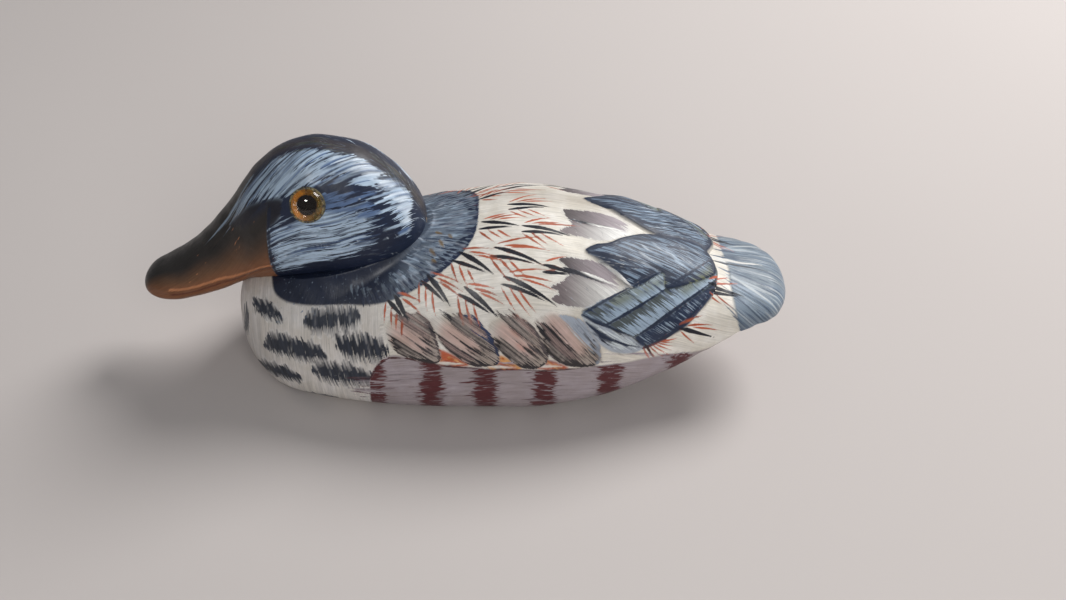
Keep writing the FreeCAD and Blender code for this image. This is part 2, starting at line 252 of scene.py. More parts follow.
class Sheet:
    """The flat map of one surface and everything painted or carved on it."""

    def __init__(self, x0, x1, reach, ground):
        self.corner = np.array([x0, -reach])
        x = np.arange(x0, x1 + SHEET_STEP, SHEET_STEP)
        g = np.arange(-reach, reach + SHEET_STEP, SHEET_STEP)
        self.X, self.G = np.meshgrid(x, g, indexing="ij")
        shape = self.X.shape
        self.ground = np.ones(shape + (3,)) * ground
        self.broad, self.fine = np.zeros(shape + (4,)), np.zeros(shape + (4,))
        self.flow = np.stack([self.G, self.X], axis=-1)
        self.relief = np.zeros(shape)

    def block(self, points, margin):
        """The slices of the sheet that hold the points and a margin."""
        ends = np.min(points, axis=0) - margin, np.max(points, axis=0) + margin
        start, stop = (np.clip((v - self.corner) / SHEET_STEP, 0, self.X.shape).astype(int) for v in ends)
        return slice(start[0], stop[0] + 1), slice(start[1], stop[1] + 1)

    def lay(self, layer, where, tint, cover):
        """Puts paint with this cover, 0 to 1, over what the layer has."""
        target = getattr(self, layer)
        if layer == "ground":
            target[where] += (tint - target[where]) * cover[..., None]
            return
        under, old = target[where][..., :3], target[where][..., 3]
        total = cover + old * (1 - cover)
        share = np.where(total > 1e-6, cover / np.maximum(total, 1e-6), 1.0)[..., None]
        mixed = np.where((old < 1e-6)[..., None], tint, under + (tint - under) * share)
        target[where] = np.concatenate([mixed, total[..., None]], axis=-1)

    def keep(self, where, share):
        """Leaves only this share, 0 to 1, of the brushwork there."""
        for layer in (self.broad, self.fine):
            layer[where][..., 3] *= share

    def stroke(self, points, width, tint, cover=1.0, blunt=0.0, soft=0.3):
        """One fine brush mark, widest a third of the way along and pointed at the end."""
        line = bezier(points)
        where = self.block(line, width + 1)
        x, g = self.X[where], self.G[where]
        if x.size == 0:
            return
        best, place = np.full(x.shape, 1e9), np.zeros(x.shape)
        for k, (a, b) in enumerate(zip(line, line[1:])):
            t, gap = off_segment(x, g, a, b)
            place = np.where(gap < best, (k + t) / (len(line) - 1), place)
            best = np.minimum(best, gap)
        rise = blunt + (1 - blunt) * np.clip(place / 0.3, 0, 1) ** 0.7
        fall = np.clip((1 - place) / 0.7, 0, 1) ** 0.8
        self.lay("fine", where, tint, soft_step(width / 2 * rise * fall - best, soft) * cover)

    def distance(self, points, margin, smooth_outline=True):
        """Where an outline is, and how far inside it each point there lies."""
        shape = rounded(points) if smooth_outline else np.array(points, float)
        where = self.block(shape, margin)
        x, g = self.X[where], self.G[where]
        best = np.full(x.shape, 1e9)
        for a, b in zip(shape, np.roll(shape, -1, 0)):
            best = np.minimum(best, off_segment(x, g, a, b)[1])
        return where, np.where(inside(shape, x, g), best, -best)

    def patch(self, layer, points, tint, cover=1.0, soft=0.35, flow=None):
        """An area of paint. A soft edge becomes a brushed fringe in the material."""
        where, depth = self.distance(points, soft + 0.5)
        self.lay(layer, where, tint, soft_step(depth, soft) * cover)
        if flow:
            self.turn(where, depth > -soft / 2, flow)
        return where, depth

    def turn(self, where, mask, flow):
        """Sets the brush direction where the mask is true."""
        new = np.stack([part(self.X[where], self.G[where]) for part in flow], axis=-1)
        self.flow[where] = np.where(mask[..., None], new, self.flow[where])

    def sample(self, name, x, g):
        """A layer's value at any x and g."""
        layer = getattr(self, name)
        u, v = (np.clip((value - low) / SHEET_STEP, 0, size - 1.001)
                for value, low, size in zip((x, g), self.corner, layer.shape))
        i, j = u.astype(int), v.astype(int)
        a, b = u - i, v - j
        if layer.ndim == 3:
            a, b = a[..., None], b[..., None]
        return ((1 - a) * (1 - b) * layer[i, j] + a * (1 - b) * layer[i + 1, j]
                + (1 - a) * b * layer[i, j + 1] + a * b * layer[i + 1, j + 1])


def slant(angle):
    """Brush direction at an angle to x, in degrees, turning towards the belly."""
    c, s = direction(angle)
    return (lambda x, g: g * c - x * s), (lambda x, g: x * c + g * s)


def fan(x0, g0, scale):
    """Brush directions that spread from one point."""
    return ((lambda x, g: np.arctan2(g - g0, x - x0) * scale),
            (lambda x, g: np.hypot(x - x0, g - g0)))


def inside(shape, x, g):
    """Whether each point lies in a closed outline."""
    shape, within = np.array(shape, float), np.zeros(np.shape(x), bool)
    for a, b in zip(shape, np.roll(shape, -1, 0)):
        if a[1] != b[1]:
            crosses = (g < max(a[1], b[1])) & (g >= min(a[1], b[1]))
            within = within ^ (crosses & (x < a[0] + (g - a[1]) * (b[0] - a[0]) / (b[1] - a[1])))
    return within


def streaks(sheet, area, count, heading, length, width, tints, cover=0.85, bend=0.0, stray=3.0):
    """Many tapered strokes inside an area. heading is degrees from x, or gives them at x and g."""
    low, high = np.min(area, axis=0), np.max(area, axis=0)
    made = 0
    while made < count:
        x, g = rng.uniform(low, high)
        if not inside(area, x, g):
            continue
        made += 1
        off, half = rng.normal(0, stray), rng.uniform(*length) / 2

        def reach(x, g):
            return [v * half for v in direction((heading(x, g) if callable(heading) else heading) + off)]

        c, s = reach(x, g)
        back, ahead = reach(x - c, g - s), reach(x + c, g + s)
        points = [(x - back[0], g - back[1]), (x - s * bend, g + c * bend), (x + ahead[0], g + ahead[1])]
        tint = tints[rng.integers(len(tints))] * rng.uniform(0.85, 1.12)
        sheet.stroke(points, rng.uniform(*width), tint, cover * rng.uniform(0.75, 1))


def oval(x, g, half_x, half_g, tilt=0.0):
    """A blunt oval outline, tilted in degrees."""
    t = np.linspace(0, 2 * np.pi, 12, endpoint=False)
    u, v = (half * np.sign(part) * np.abs(part) ** 0.75
            for half, part in ((half_x, np.cos(t)), (half_g, np.sin(t))))
    c, s = direction(tilt)
    return [(x + a * c - b * s, g + a * s + b * c) for a, b in zip(u, v)]


def other_side(points):
    """The same marks on the right side. The marks near the top line lie a little left of it."""
    fading = lambda g: 1 - min(max((g - SHIFTED_G) / (EVEN_G - SHIFTED_G), 0), 1)
    return [(x, TOP_SHIFT * fading(g) - g) for x, g in points]


SIDES = ((1, list), (-1, other_side))


# ---- hull plumage
hull = Sheet(-56, 79, 84, CREAM)

COLLAR = [(3.4, 1), (3.2, 6), (2, 10), (-1, 14), (-6, 17.8), (-11, 20), (-16, 21), (-21, 20.6),
    (-25.4, 19.5), (-32, 18.1), (-36.4, 16.8), (-40, 15), (-42.6, 12.2), (-43.8, 8), (-44.6, 4),
    (-44.8, 0)]
STRIP = [(-20.6, 54), (-20.4, 43.7), (-20, 38.5), (-18.2, 34.9), (-15.6, 33.4), (-11.8, 34.5),
    (-8.2, 36.6), (-3.2, 38.3), (2.6, 40), (7.3, 41.2), (13.4, 41.8), (18.3, 41.5), (23.9, 40.6),
    (29, 39), (36, 37), (45, 32.6), (55, 28.8), (63, 24.5), (72, 21), (76, 24), (78, 84), (-21, 84)]
LEVEL_BEND, LEVEL_X = 0.0037, 8               # level lines on the flank bend upwards about this x
STRIP_LINE = [(-20, 38.5), (-18, 35.2), (-15.6, 33.9), (-11.8, 34.9), (-3.2, 38.6), (7.3, 41.5),
    (18.3, 41.9), (29, 39.4)]
BAR_REACH, BAR_FADE = 3.9, 3.0
# x of each bar's middle and g where it starts
BARS = [(x, np.interp(x, (-19.6, -6, 6, 20, 33, 50, 64), (37, 37.4, 41.4, 42, 39, 31, 25)))
        for x in (-19.4, -6.2, 5.8, 19.2, 34.0, 50, 64)]
# x, g, half length, half height, tilt
BREAST_DASHES = (
    (-28.6, 22.2, 6.6, 3.2, 10), (-37.6, 26.6, 8.4, 3.3, 25), (-21.6, 30.5, 6.2, 3.7, 18),
    (-42.6, 31.8, 6.8, 3.2, 30), (-26.4, 36.4, 7.6, 3.5, 20), (-44.2, 15.6, 4.4, 3.1, 37),
    # The last patch, low on the underside, is painted shade along the breast's lower edge
    (-50.8, 13.4, 1.2, 3.2, 0), (-36.0, 44.5, 7.5, 2.4, 8))
FLANK_HEADING = 42
HEART = [(-5.4, -1.2), (-2, -2.0), (3.2, -1.6), (5.0, 0), (3, 1.6), (-3, 1.9), (-5.6, 0.8)]
FLANK = [
    [(-16.2, 26.8), (-15, 25), (-12, 24.8), (-9.5, 25), (-6.7, 27), (-4.9, 31.3), (-3.9, 36.6),
     (-5.6, 37.6), (-9.3, 36), (-13.3, 33.4), (-15.4, 30.2)],
    [(-5.8, 26.7), (-2.1, 27), (2.6, 27.2), (5.5, 30.3), (8.2, 34.4), (9.1, 39), (7.5, 40.4), (3, 39.6),
     (-1.4, 35.8), (-4.9, 31.3), (-6.7, 28.7)],
    [(6.8, 29.8), (9.5, 28.6), (12.5, 28.4), (15.2, 29.7), (18.1, 33.2), (19.9, 38.6), (17, 41.3),
     (13.4, 40.8), (9.8, 37.3), (6.8, 33)],
    [(16.7, 29.2), (21.7, 27.4), (26.9, 27.8), (30.6, 31.2), (31.5, 37), (28.5, 39.2), (23.7, 39.5),
     (20.1, 37.2), (18.1, 33.2)]]
LOBE = [(27.6, 11.6), (30, 9.4), (33, 8.4), (36, 6), (41, 3), (47, 1.2), (54, 0.4), (56.6, 3),
    (57.6, 6.5), (56, 10), (46, 16.4), (44.6, 13), (38, 18.4), (33, 15), (30, 13.2)]
FEATHER_1 = [(27, 26), (30, 23.6), (33, 21.8), (38, 18), (45, 12.2), (46.4, 13.6), (46, 16.2), (40, 22),
    (32, 28)]
FEATHER_2 = [(27, 26.6), (32, 27.6), (40, 21.8), (46, 15.8), (53, 9), (56.5, 4.6), (58.2, 7), (57, 11),
    (52, 16.4), (46, 22.4), (40, 28.2), (37, 29.2)]
FEATHER_3 = [(39, 28), (46, 22), (52, 16), (56.6, 11), (58, 9), (57, 13.5), (53.6, 19), (50, 24),
    (45, 28.4), (41, 31)]
COVERTS = [(27, 26.4), (32, 27.6), (38, 28.6), (41, 31), (38.6, 33.4), (34, 34), (30, 31.5)]
WEDGE_TOP = [(22.8, -0.6), (27.2, -1.6), (32, -1.6), (36.5, -0.6), (41, 2), (35.5, 6), (31.5, 7.8),
    (26.9, 7.8), (22, 7.2), (24.8, 4.4), (23.8, 2.6)]
WEDGE_SIDE = [(21.6, 14.9), (24, 14), (30.6, 14), (34.5, 15.8), (38.8, 18.6), (34.5, 21.6), (30, 24.6),
    (24.8, 25.2), (20.2, 24.6), (21.8, 22.4), (20, 21.6), (23, 19.6), (24, 17)]
ACROSS = (0.669, 0.743)                       # unit step in x and g across the two long wing feathers
WING_OLIVE = (
    ([(33, 22.6), (38, 19), (43.6, 14.6), (45, 13.2), (45.6, 15), (39, 20.4), (34.6, 23.4)], 1.4),
    ([(49, 15), (53, 11), (56, 7), (56.4, 9), (52.6, 14), (50, 16.4)], 1.6))
# Dark strokes along the feather edges, as points and width in mm: partly painted outlines, partly painted
# shadow under the carved feather steps
WING_LINES = (
    ([(27.4, 26), (33, 21.8), (38, 18)], 0.6), ([(38, 18.2), (45, 12.4)], 0.7),
    ([(32, 28), (40, 22), (46, 16)], 0.6), ([(46, 16), (53, 9.4), (56.6, 4.6)], 0.6),
    ([(40, 28.2), (46, 22.2), (52, 16.2), (57.4, 10)], 0.8), ([(27, 26.6), (32, 28), (38.5, 29.2)], 0.9),
    ([(28, 28), (33, 32), (40, 31.4)], 0.9), ([(28, 11.4), (30.4, 9.6), (33.4, 8.6), (36, 7.4)], 1.3),
    ([(28.4, 12), (33, 12.6), (41, 12.4)], 1.3), ([(31, 14), (37, 14.6), (44, 12.6)], 0.7),
    ([(36, 6.4), (41, 5), (47, 4.6)], 1.1), ([(46, 5.6), (51, 4.4), (55.6, 5)], 0.7),
    ([(41, 31.4), (46, 28), (51, 22.6), (57, 12)], 0.9))
TAIL = [(60.8, -16), (60.6, -4), (61.6, 3), (61.8, 9), (62.4, 15), (64, 21), (67, 25), (79, 30), (80, 0),
    (79, -30), (67, -25), (63, -21)]


def dashes(place, x, g, long, high, tilt):
    """A patch of short bristle marks side by side, ragged along its top and bottom."""
    c, s = direction(tilt)
    lean = 0.012 * tilt
    hull.patch("broad", place(oval(x, g, long * 0.82, high * 0.62, tilt)), CHARCOAL, 0.64, soft=1.5)
    for share in np.linspace(-1, 1, int(long * 2 / 0.42)):
        reach = high * (1.05 - 0.7 * abs(share) ** 5) * rng.uniform(0.78, 1.15)
        u, v = x + share * long * c, g + share * long * s + rng.normal(0, 0.10) * high
        mark = place([(u - lean * reach, v - reach), (u, v), (u + lean * reach, v + reach)])
        hull.stroke(mark, rng.uniform(0.26, 0.42), CHARCOAL * rng.uniform(0.7, 1.4), 0.9, blunt=0.35)
        for way in (-1, 1):                            # pale bristle marks back into the patch
            if rng.random() < 0.55:
                near, far = 0.45 * reach * way, 1.25 * reach * way
                gap = place([(u + 0.2 + lean * far, v + far), (u + 0.2 + lean * near, v + near)])
                hull.stroke(gap, rng.uniform(0.24, 0.36), BREAST_WHITE, 0.85, blunt=0.3)


def paint_breast():
    hull.lay("ground", slice(None), BREAST_WHITE, ease(-hull.X, 14, 20))
    for side, place in SIDES:
        area = place([(-54, 0), (-54, 50), (-20, 50), (-19, 34), (-17, 22), (-45, 0)])
        where, depth = hull.distance(area, 1, smooth_outline=False)
        hull.turn(where, depth > 0, slant(side * 88))
        streaks(hull, area, 110, side * 88, (2, 5), (0.22, 0.4), [WHITE, BREAST_WHITE * 0.75], cover=0.35)
        for patch in BREAST_DASHES:
            dashes(place, *patch)


def paint_strip():
    for side, place in SIDES:
        strip = place(STRIP)
        level = (lambda x, g: g * side + LEVEL_BEND * (x - LEVEL_X) ** 2, lambda x, g: x)
        where, depth = hull.patch("ground", strip, MAUVE, soft=0.5, flow=level)
        hull.keep(where, depth <= 0)
        for middle, _ in BARS:
            bar = np.clip((BAR_REACH - np.abs(hull.X[where] - middle)) / BAR_FADE, 0, 0.95)
            hull.lay("broad", where, MAROON, bar * soft_step(depth, 0.6))
        heading = lambda x, g: math.degrees(math.atan(-2 * LEVEL_BEND * (x - LEVEL_X))) * side
        for middle, top in BARS:
            for edge in (middle - 2.4, middle + 2.4):
                corners = [(edge - 1.3, top), (edge + 1.3, top), (edge + 1.3, 60), (edge - 1.3, 60)]
                streaks(hull, [(x, g * side) for x, g in corners], 34, heading, (2.0, 6.5), (0.22, 0.36),
                        [MAROON, MAROON * 0.8, MAUVE, MAUVE * 0.8], cover=0.6)
        seen = [(x, g + side * 1.2) for x, g in strip if x < 60 and abs(g) < 45]
        streaks(hull, seen, 110, heading, (4, 12), (0.22, 0.4), [MAUVE * 1.25, MAUVE * 0.6, MAUVE * 1.1],
                cover=0.45)
        line = place(STRIP_LINE)
        for a, b in zip(line, line[1:]):
            hull.stroke([a, b], 0.55, MAROON * 0.6, 0.6, blunt=0.8)
    for side, place in SIDES:                          # orange and rust between the feathers
        for corners, tint in (([(-4.2, 34.2), (2.4, 39.3), (-4.6, 37.9)], RUST * 1.1),
                              ([(8.8, 37.4), (14, 41.5), (7, 41.0)], PEACH),
                              ([(19.6, 38.6), (24.4, 40.3), (17.4, 41.2)], RUST * 1.1)):
            triangle = place(corners)
            hull.patch("ground", triangle, tint, soft=0.4)
            streaks(hull, triangle, 18, side * 32, (1.2, 2.8), (0.25, 0.4), [ORANGE * 0.7, PEACH * 0.9, RUST])
            low = [(corners[2][0] - 0.4, corners[2][1] - 0.5), (corners[1][0] - 1.2, corners[1][1] - 0.4)]
            hull.stroke(place(low), 0.8, CREAM, 0.8, blunt=0.4)


def hatch(spot, shape, band, gap, part, tints, width=0.34):
    """Fine parallel lines over a band of a feather. part: where they start and end along its chord."""
    for v in np.arange(*band, gap):
        v = v + rng.normal(0, 0.08)
        held = [u for u in np.arange(-9, 9.1, 0.5) if inside(shape, *spot([(u, v)])[0])]
        if len(held) < 3:
            continue
        start, end = (held[0] + (held[-1] - held[0]) * share + rng.normal(0, spread)
                      for share, spread in zip(part, (1.0, 0.3)))
        tint = tints[rng.integers(len(tints))]
        line = [(start, v), ((start + end) / 2, v + 0.15), (end, v - 0.1)]
        hull.stroke(spot(line), width * rng.uniform(0.8, 1.2), tint, 0.9, blunt=0.2)


def paint_flank():
    """Four overlapping feathers: pink hearts between dark hatched edges."""
    c, s = direction(FLANK_HEADING)
    dark, pale = [HATCH, BLACK, HATCH * 0.8], [BEIGE * 1.2, PINK * 0.9]
    blue = [TAIL_PALE, SILVER * 0.7, SILVER]
    pink_lines = (((-5.6, -1.6), 0.56, (-0.14, 1.0), dark), ((-5.3, -1.4), 0.56, (0.0, 0.8), pale, 0.24),
                  ((-1.2, 1.6), 1.4, (0.2, 1.0), [HATCH, TAUPE], 0.22))
    blue_lines = (((-7.5, -1.8), 0.70, (0.0, 0.9), blue, 0.28),
                  ((-7.2, -1.6), 0.70, (0.74, 1.03), dark, 0.30), ((0.8, 3.4), 0.56, (0.06, 0.7), dark, 0.30))
    all_lines = (((-1.6, 2.2), 0.66, (0.60, 1.02), dark, 0.26), ((1.9, 6.0), 0.50, (0.0, 1.0), dark, 0.40),
                 ((2.2, 5.0), 0.66, (0.2, 0.8), pale, 0.22))
    for side, place in SIDES:
        for shape, centre, back, upper, lower, own_lines in zip(
                FLANK, ((-10.3, 30.6), (0.6, 32.6), (13.0, 34.2), (23.9, 32.2)),
                (TAUPE * 0.7, NAVY * 2.4, TAUPE * 0.7, SILVER * 1.1), (0.50, 0.50, 0.50, 0.80),
                (0.50, 0.50, 0.50, 0.62), (pink_lines,) * 3 + (blue_lines,)):
            spot = lambda points: place([(centre[0] + u * c - v * s, centre[1] + u * s + v * c)
                                         for u, v in points])
            shape = place(shape)
            where, depth = hull.distance(shape, 1.0)
            x, g = hull.X[where] - centre[0], hull.G[where] * side - centre[1]
            along, across = x * c + g * s, -x * s + g * c
            hull.turn(where, depth > -0.4, slant(side * FLANK_HEADING))
            edge = soft_step(depth, 0.5)
            hull.lay("ground", where, BEIGE, edge * (0.4 + 0.6 * ease(along, -6, -3)))
            hull.keep(where, (depth <= 0.1) | (along <= -4))
            hull.patch("ground", spot(HEART), PINK, 0.85, soft=2.2)
            upper = upper * ease(-across, 1.2, 3.0)
            lower = lower * ease(across, 1.2, 3.2) * ease(along, -5, -2)
            rim = 0.70 * np.clip(1 - depth / 0.9, 0, 1) * ease(along, -4, -1)
            hull.lay("broad", where, back, np.clip(upper + rim * (across < 0), 0, 0.9) * edge)
            lower = lower + rim * (across > 0) + 0.3 * ease(along, 4.5, 6.5)
            hull.lay("broad", where, HATCH, np.clip(lower, 0, 0.92) * edge)
            for lines in own_lines + all_lines:
                hatch(spot, shape, *lines)
        for x, g in ((12.6, 32.2), (13.8, 35.6)):
            hull.patch("ground", place(oval(x, g, 1.2, 0.6, FLANK_HEADING)), RUST, 0.35, soft=1.2)


def paint_wedge(area, shaft, side):
    """A grey-brown feather that fades to white at its tip, darker behind its shaft."""
    where, depth = hull.distance(area, 1.5)
    x, g = hull.X[where], hull.G[where]
    start, end = min(p[0] for p in area), max(p[0] for p in area)
    before = ease((g - np.interp(x, *zip(*shaft))) * side, -0.8, 0.8)[..., None]
    fade = ease(x, start + 1, end - 4)[..., None]
    inner = TAUPE * 0.60 + (MAUVE * 1.1 - TAUPE * 0.60) * fade
    outer = TAUPE * 1.25 + (WHITE * 0.92 - TAUPE * 1.25) * fade
    hull.turn(where, depth > -0.4, slant(side * 30))
    hull.lay("ground", where, WHITE, soft_step(depth, 0.8) * 0.8)
    cover = soft_step(depth, 1.0) * (1 - 0.9 * ease(x, end - 7, end - 1))
    hull.lay("broad", where, inner + (outer - inner) * before, cover)
    streaks(hull, area, 70, side * 62, (1.2, 3.0), (0.2, 0.34), [TAUPE, SILVER, WHITE, TAUPE * 0.7],
            cover=0.32)
    hull.stroke([(x, g - side * 0.4) for x, g in shaft], 0.9, colour(44, 44, 54), 0.9)
    hull.stroke([(x + 4, g - side * 0.1) for x, g in shaft], 0.55, WHITE, 0.95)


def paint_wings():
    shaded = (WING_DARK * 2.2 + OLIVE) / 2
    # outline, brush angle, base, paler paint over it, its cover, streaks, and, for a long feather,
    # where it turns from dark to pale across its length
    feathers = ((COVERTS, 24, SILVER * 1.2, TAIL_PALE, 0.62, 40, None),
                (FEATHER_3, 20, WING_DARK * 1.1, PALE_BLUE * 0.6, 0.40, 60, None),
                (FEATHER_2, 22, shaded, PALE_BLUE * 0.86, 0.74, 110, (42.4, 46.2)),
                (FEATHER_1, 22, shaded, PALE_BLUE * 0.86, 0.74, 110, (37.8, 41.6)),
                (LOBE, 10, WING_DARK * 0.9, WING_BLUE * 0.88, 0.50, 130, None))
    for side, place in reversed(SIDES):
        paint_wedge(place(WEDGE_SIDE), place([(22.5, 17), (27.5, 18.2), (32.5, 19.2)]), side)
        own_g = hull.G if side > 0 else np.interp(   # other_side turned round
            -hull.G, (0, SHIFTED_G - TOP_SHIFT, EVEN_G, 84), (TOP_SHIFT, SHIFTED_G, EVEN_G, 84))
        for area, tilt, base, pale, share, count, band in feathers:
            where, depth = hull.patch("ground", place(area), base, soft=0.4, flow=slant(side * tilt))
            hull.keep(where, depth <= 0)
            cover = share * ease(depth, 0.1, 1.8)
            if band:
                across = hull.X[where] * ACROSS[0] + own_g[where] * ACROSS[1]
                cover = share * ease(across, *band) * ease(depth, 0, 0.5)
            hull.lay("broad", where, pale, cover)
            streaks(hull, place(area), count, side * tilt, (1.8, 5), (0.2, 0.3),
                    [pale * 1.1, WING_DARK, pale, NAVY * 1.4], cover=0.42)
        streaks(hull, place([(40, 6), (50, 2.6), (56, 4), (55, 9), (46, 14), (41, 12)]), 40, side * 20,
                (3, 8), (0.25, 0.45), [PALE_BLUE, BRIGHT_BLUE * 0.80, WING_DARK], cover=0.45, bend=0.3 * side)
        streaks(hull, place(COVERTS), 9, side * 26, (3, 6), (0.22, 0.34), [WING_DARK, BLACK])
        for area, soft in WING_OLIVE:
            hull.patch("broad", place(area), OLIVE, 0.55, soft=soft)
        # Dark lines along the feather edges, partly painted shadow under the carved steps
        for line, width in WING_LINES:
            hull.stroke(place(line), width, WING_DARK * 0.8, 0.9, blunt=0.4)
        hull.stroke(place([(38, 18.6), (33.4, 15.2), (30, 13.4)]), 0.7, WHITE, 0.8)
    paint_wedge(WEDGE_TOP, [(24, 3), (28.5, 3.7), (34, 3.4)], 1)


def paint_tail():
    hull.patch("ground", TAIL, TAIL_BLUE * 0.80, soft=0.5, flow=fan(40, 1, 26))
    where, depth = hull.distance(TAIL, 1)
    low_edge = ease(np.abs(hull.G[where] - 1), 13, 22)
    hull.lay("broad", where, TAIL_DARK, np.where(depth > 0, 0.36 + 0.4 * low_edge, 0))
    heading = lambda x, g: math.degrees(math.atan2(g - 1, x - 40))
    streaks(hull, [(61.5, -20), (62, 20), (76, 20), (76, -20)], 230, heading, (5, 13), (0.22, 0.5),
            [TAIL_PALE * 0.85, TAIL_DARK, TAIL_BLUE, TAIL_DARK * 0.8], cover=0.5)
    for line, width, tint in (([(57, 1.6), (64, 0.6), (70, -0.6)], 1.0, WHITE * 0.9),
                              ([(57, 2.8), (64, 1.8), (71, 1.4)], 0.5, BLACK),
                              ([(57, 0.8), (63, -0.4), (70, -1.8)], 0.5, TAIL_DARK),
                              ([(62, 6), (68, 10), (75, 13)], 0.7, TAIL_PALE * 0.8),
                              ([(62, -5), (68, -9), (75, -12)], 0.7, TAIL_PALE * 0.8)):
        hull.stroke(line, width, tint, 0.9)


def paint_collar():
    ring = COLLAR + [(x, -g) for x, g in reversed(COLLAR[1:-1])]
    where, depth = hull.patch("ground", ring, NAVY * 0.8, soft=0.4, flow=fan(-27, 0, 22))
    hull.keep(where, depth <= 0.1)
    rear = ease(hull.X[where] + 0.30 * np.abs(hull.G[where]), -14, 0)
    rim = np.clip(1 - depth / 1.6, 0, 1)
    hull.lay("ground", where, DUSTY_BLUE * 1.25, np.where(depth > 0, rear * 0.9, 0))
    hull.lay("broad", where, NAVY * 1.15, np.where(depth > 0, 0.36 * rear + 0.5 * rear * rim, 0))
    heading = lambda x, g: math.degrees(math.atan2(g, x + 27))
    for _, place in SIDES:
        area = place([(-14, 20), (-6, 16.5), (1, 11), (2.6, 5), (2.6, 0), (-6, 0), (-10, 8), (-16, 15)])
        streaks(hull, area, 210, heading, (1.6, 4.5), (0.28, 0.45),
                [SILVER * 0.95, DUSTY_BLUE * 1.2, NAVY * 1.6, PALE_BLUE * 0.85], cover=0.5)
        streaks(hull, place([(-26, 18.8), (-12, 20), (-14, 14), (-24, 13)]), 60, heading, (1.5, 3.5),
                (0.25, 0.4), [DUSTY_BLUE * 0.8, CHARCOAL * 1.3], cover=0.5)
        for _ in range(300):                           # dust in the dark paint
            x, g = place([(rng.uniform(-42, -4), rng.uniform(9, 20))])[0]
            hull.stroke([(x, g), (x + 0.2, g)], rng.uniform(0.2, 0.42), DUSTY_BLUE * rng.uniform(0.7, 1.3),
                        0.5, blunt=0.9)
        for x, g in bezier(place([(3, 3), (3.6, 12), (-10, 20.4), (-22, 20.6)]), 60)[::2]:
            c, s = direction(heading(x, g) + rng.normal(0, 8))    # dark barbs over the edge
            hull.stroke([(x - 2 * c, g - 2 * s), (x + 0.7 * c, g + 0.7 * s)], 0.5, NAVY, 0.85, blunt=0.5)
    for line in ([(-6, 5), (-4.4, 6.2)], [(-5, 8), (-3.8, 10.5)], [(-7, 10), (-5.6, 12.6)],
                 [(-3, 6.6), (-2, 8)], [(-6.4, 13), (-5.4, 14.2)]):
        hull.stroke(line, 0.8, FILLER, 0.7, blunt=0.5)


# x, g, heading, length, gap between the black strokes, rust strokes over and under them
TUFTS_BOTH_SIDES = (
    (7.3, 12.3, 23, 12.2, 2.3, 3, 3), (-0.5, 12.1, 41, 10.9, 2.5, 3, 3), (18.3, 16.7, 10, 7.0, 1.7, 1, 0),
    (9.6, 19.6, 27, 13.5, 1.7, 3, 3), (-7.4, 16.6, 56, 10.0, 1.8, 3, 3), (1.0, 20.8, 46, 11.0, 1.9, 3, 3),
    (-14.6, 19.6, 64, 7.8, 1.7, 2, 4), (55.6, 11.4, 0, 9.0, 1.6, 2, 2), (48.8, 24.2, 0, 9.2, 0.0, 3, 1))
TUFTS_ON_TOP = (
    (3.2, -5.4, -16, 7.5, 0.0, 3, 2), (10.0, -1.2, 2, 10.0, 2.1, 3, 3), (4.1, 4.2, 16, 9.2, 2.4, 3, 3),
    (13.4, 6.6, 8, 11.3, 1.8, 3, 3))


def tuft(place, x, g, heading, length, gap, over, under):
    """Two black strokes that close towards their tips, and rust ones fanned over and under them."""
    c, s = direction(heading)

    def mark(start, turn, long, sag, width, tint, cover):
        along, across = (v * long for v in direction(turn))
        u, v = start
        bend = [(u, v), (u + along / 2 - sag * across, v + across / 2 + sag * along), (u + along, v + across)]
        line = place([(x + p * c - q * s, g + p * s + q * c) for p, q in bend])
        hull.stroke(line, width, tint, cover, blunt=0.12, soft=0.34)

    for k in range(over):
        mark((0.2 + 1.7 * k, -0.9 - 0.1 * k), -30 + 7 * k + rng.normal(0, 3),
             length * rng.uniform(0.60, 0.85), -0.05, rng.uniform(0.40, 0.54),
             RUST * rng.uniform(0.85, 1.2), 0.85)
    for k in range(under):
        mark((0.5 + 2.0 * k, gap + 0.5 - 0.45 * k), 30 - 3 * k + rng.normal(0, 3),
             length * rng.uniform(0.45, 0.62), 0.04, rng.uniform(0.38, 0.52),
             RUST * rng.uniform(0.85, 1.2), 0.85)
    mark((0, 0), 0, length, -0.04, 1.0, BLACK, 1.0)
    if gap:
        close = -math.degrees(math.atan2(gap - 0.3, length * 0.9))
        mark((0.2, gap), close, length * 0.82, -0.03, 0.85, BLACK, 1.0)


def paint_tufts():
    for marks in TUFTS_BOTH_SIDES:
        for _, place in SIDES:
            tuft(place, *marks)
    for marks in TUFTS_ON_TOP:
        tuft(list, *marks)
    for _, place in SIDES:                          # a fan of rust under the wing
        for k in range(8):
            c, s = direction(58 - 12 * k)
            long, x, g = rng.uniform(3.6, 5.0), 41.0 + 0.62 * k, 31.2 - 0.40 * k
            mark = [(x, g), (x + c * long / 2, g + s * long / 2 + 0.3), (x + c * long, g + s * long)]
            hull.stroke(place(mark), 0.34, RUST * rng.uniform(0.9, 1.3), 0.85, blunt=0.1)
        hull.stroke(place([(41.2, 29.9), (42.4, 31.6), (43.6, 33.5)]), 0.6, BLACK, 0.9)


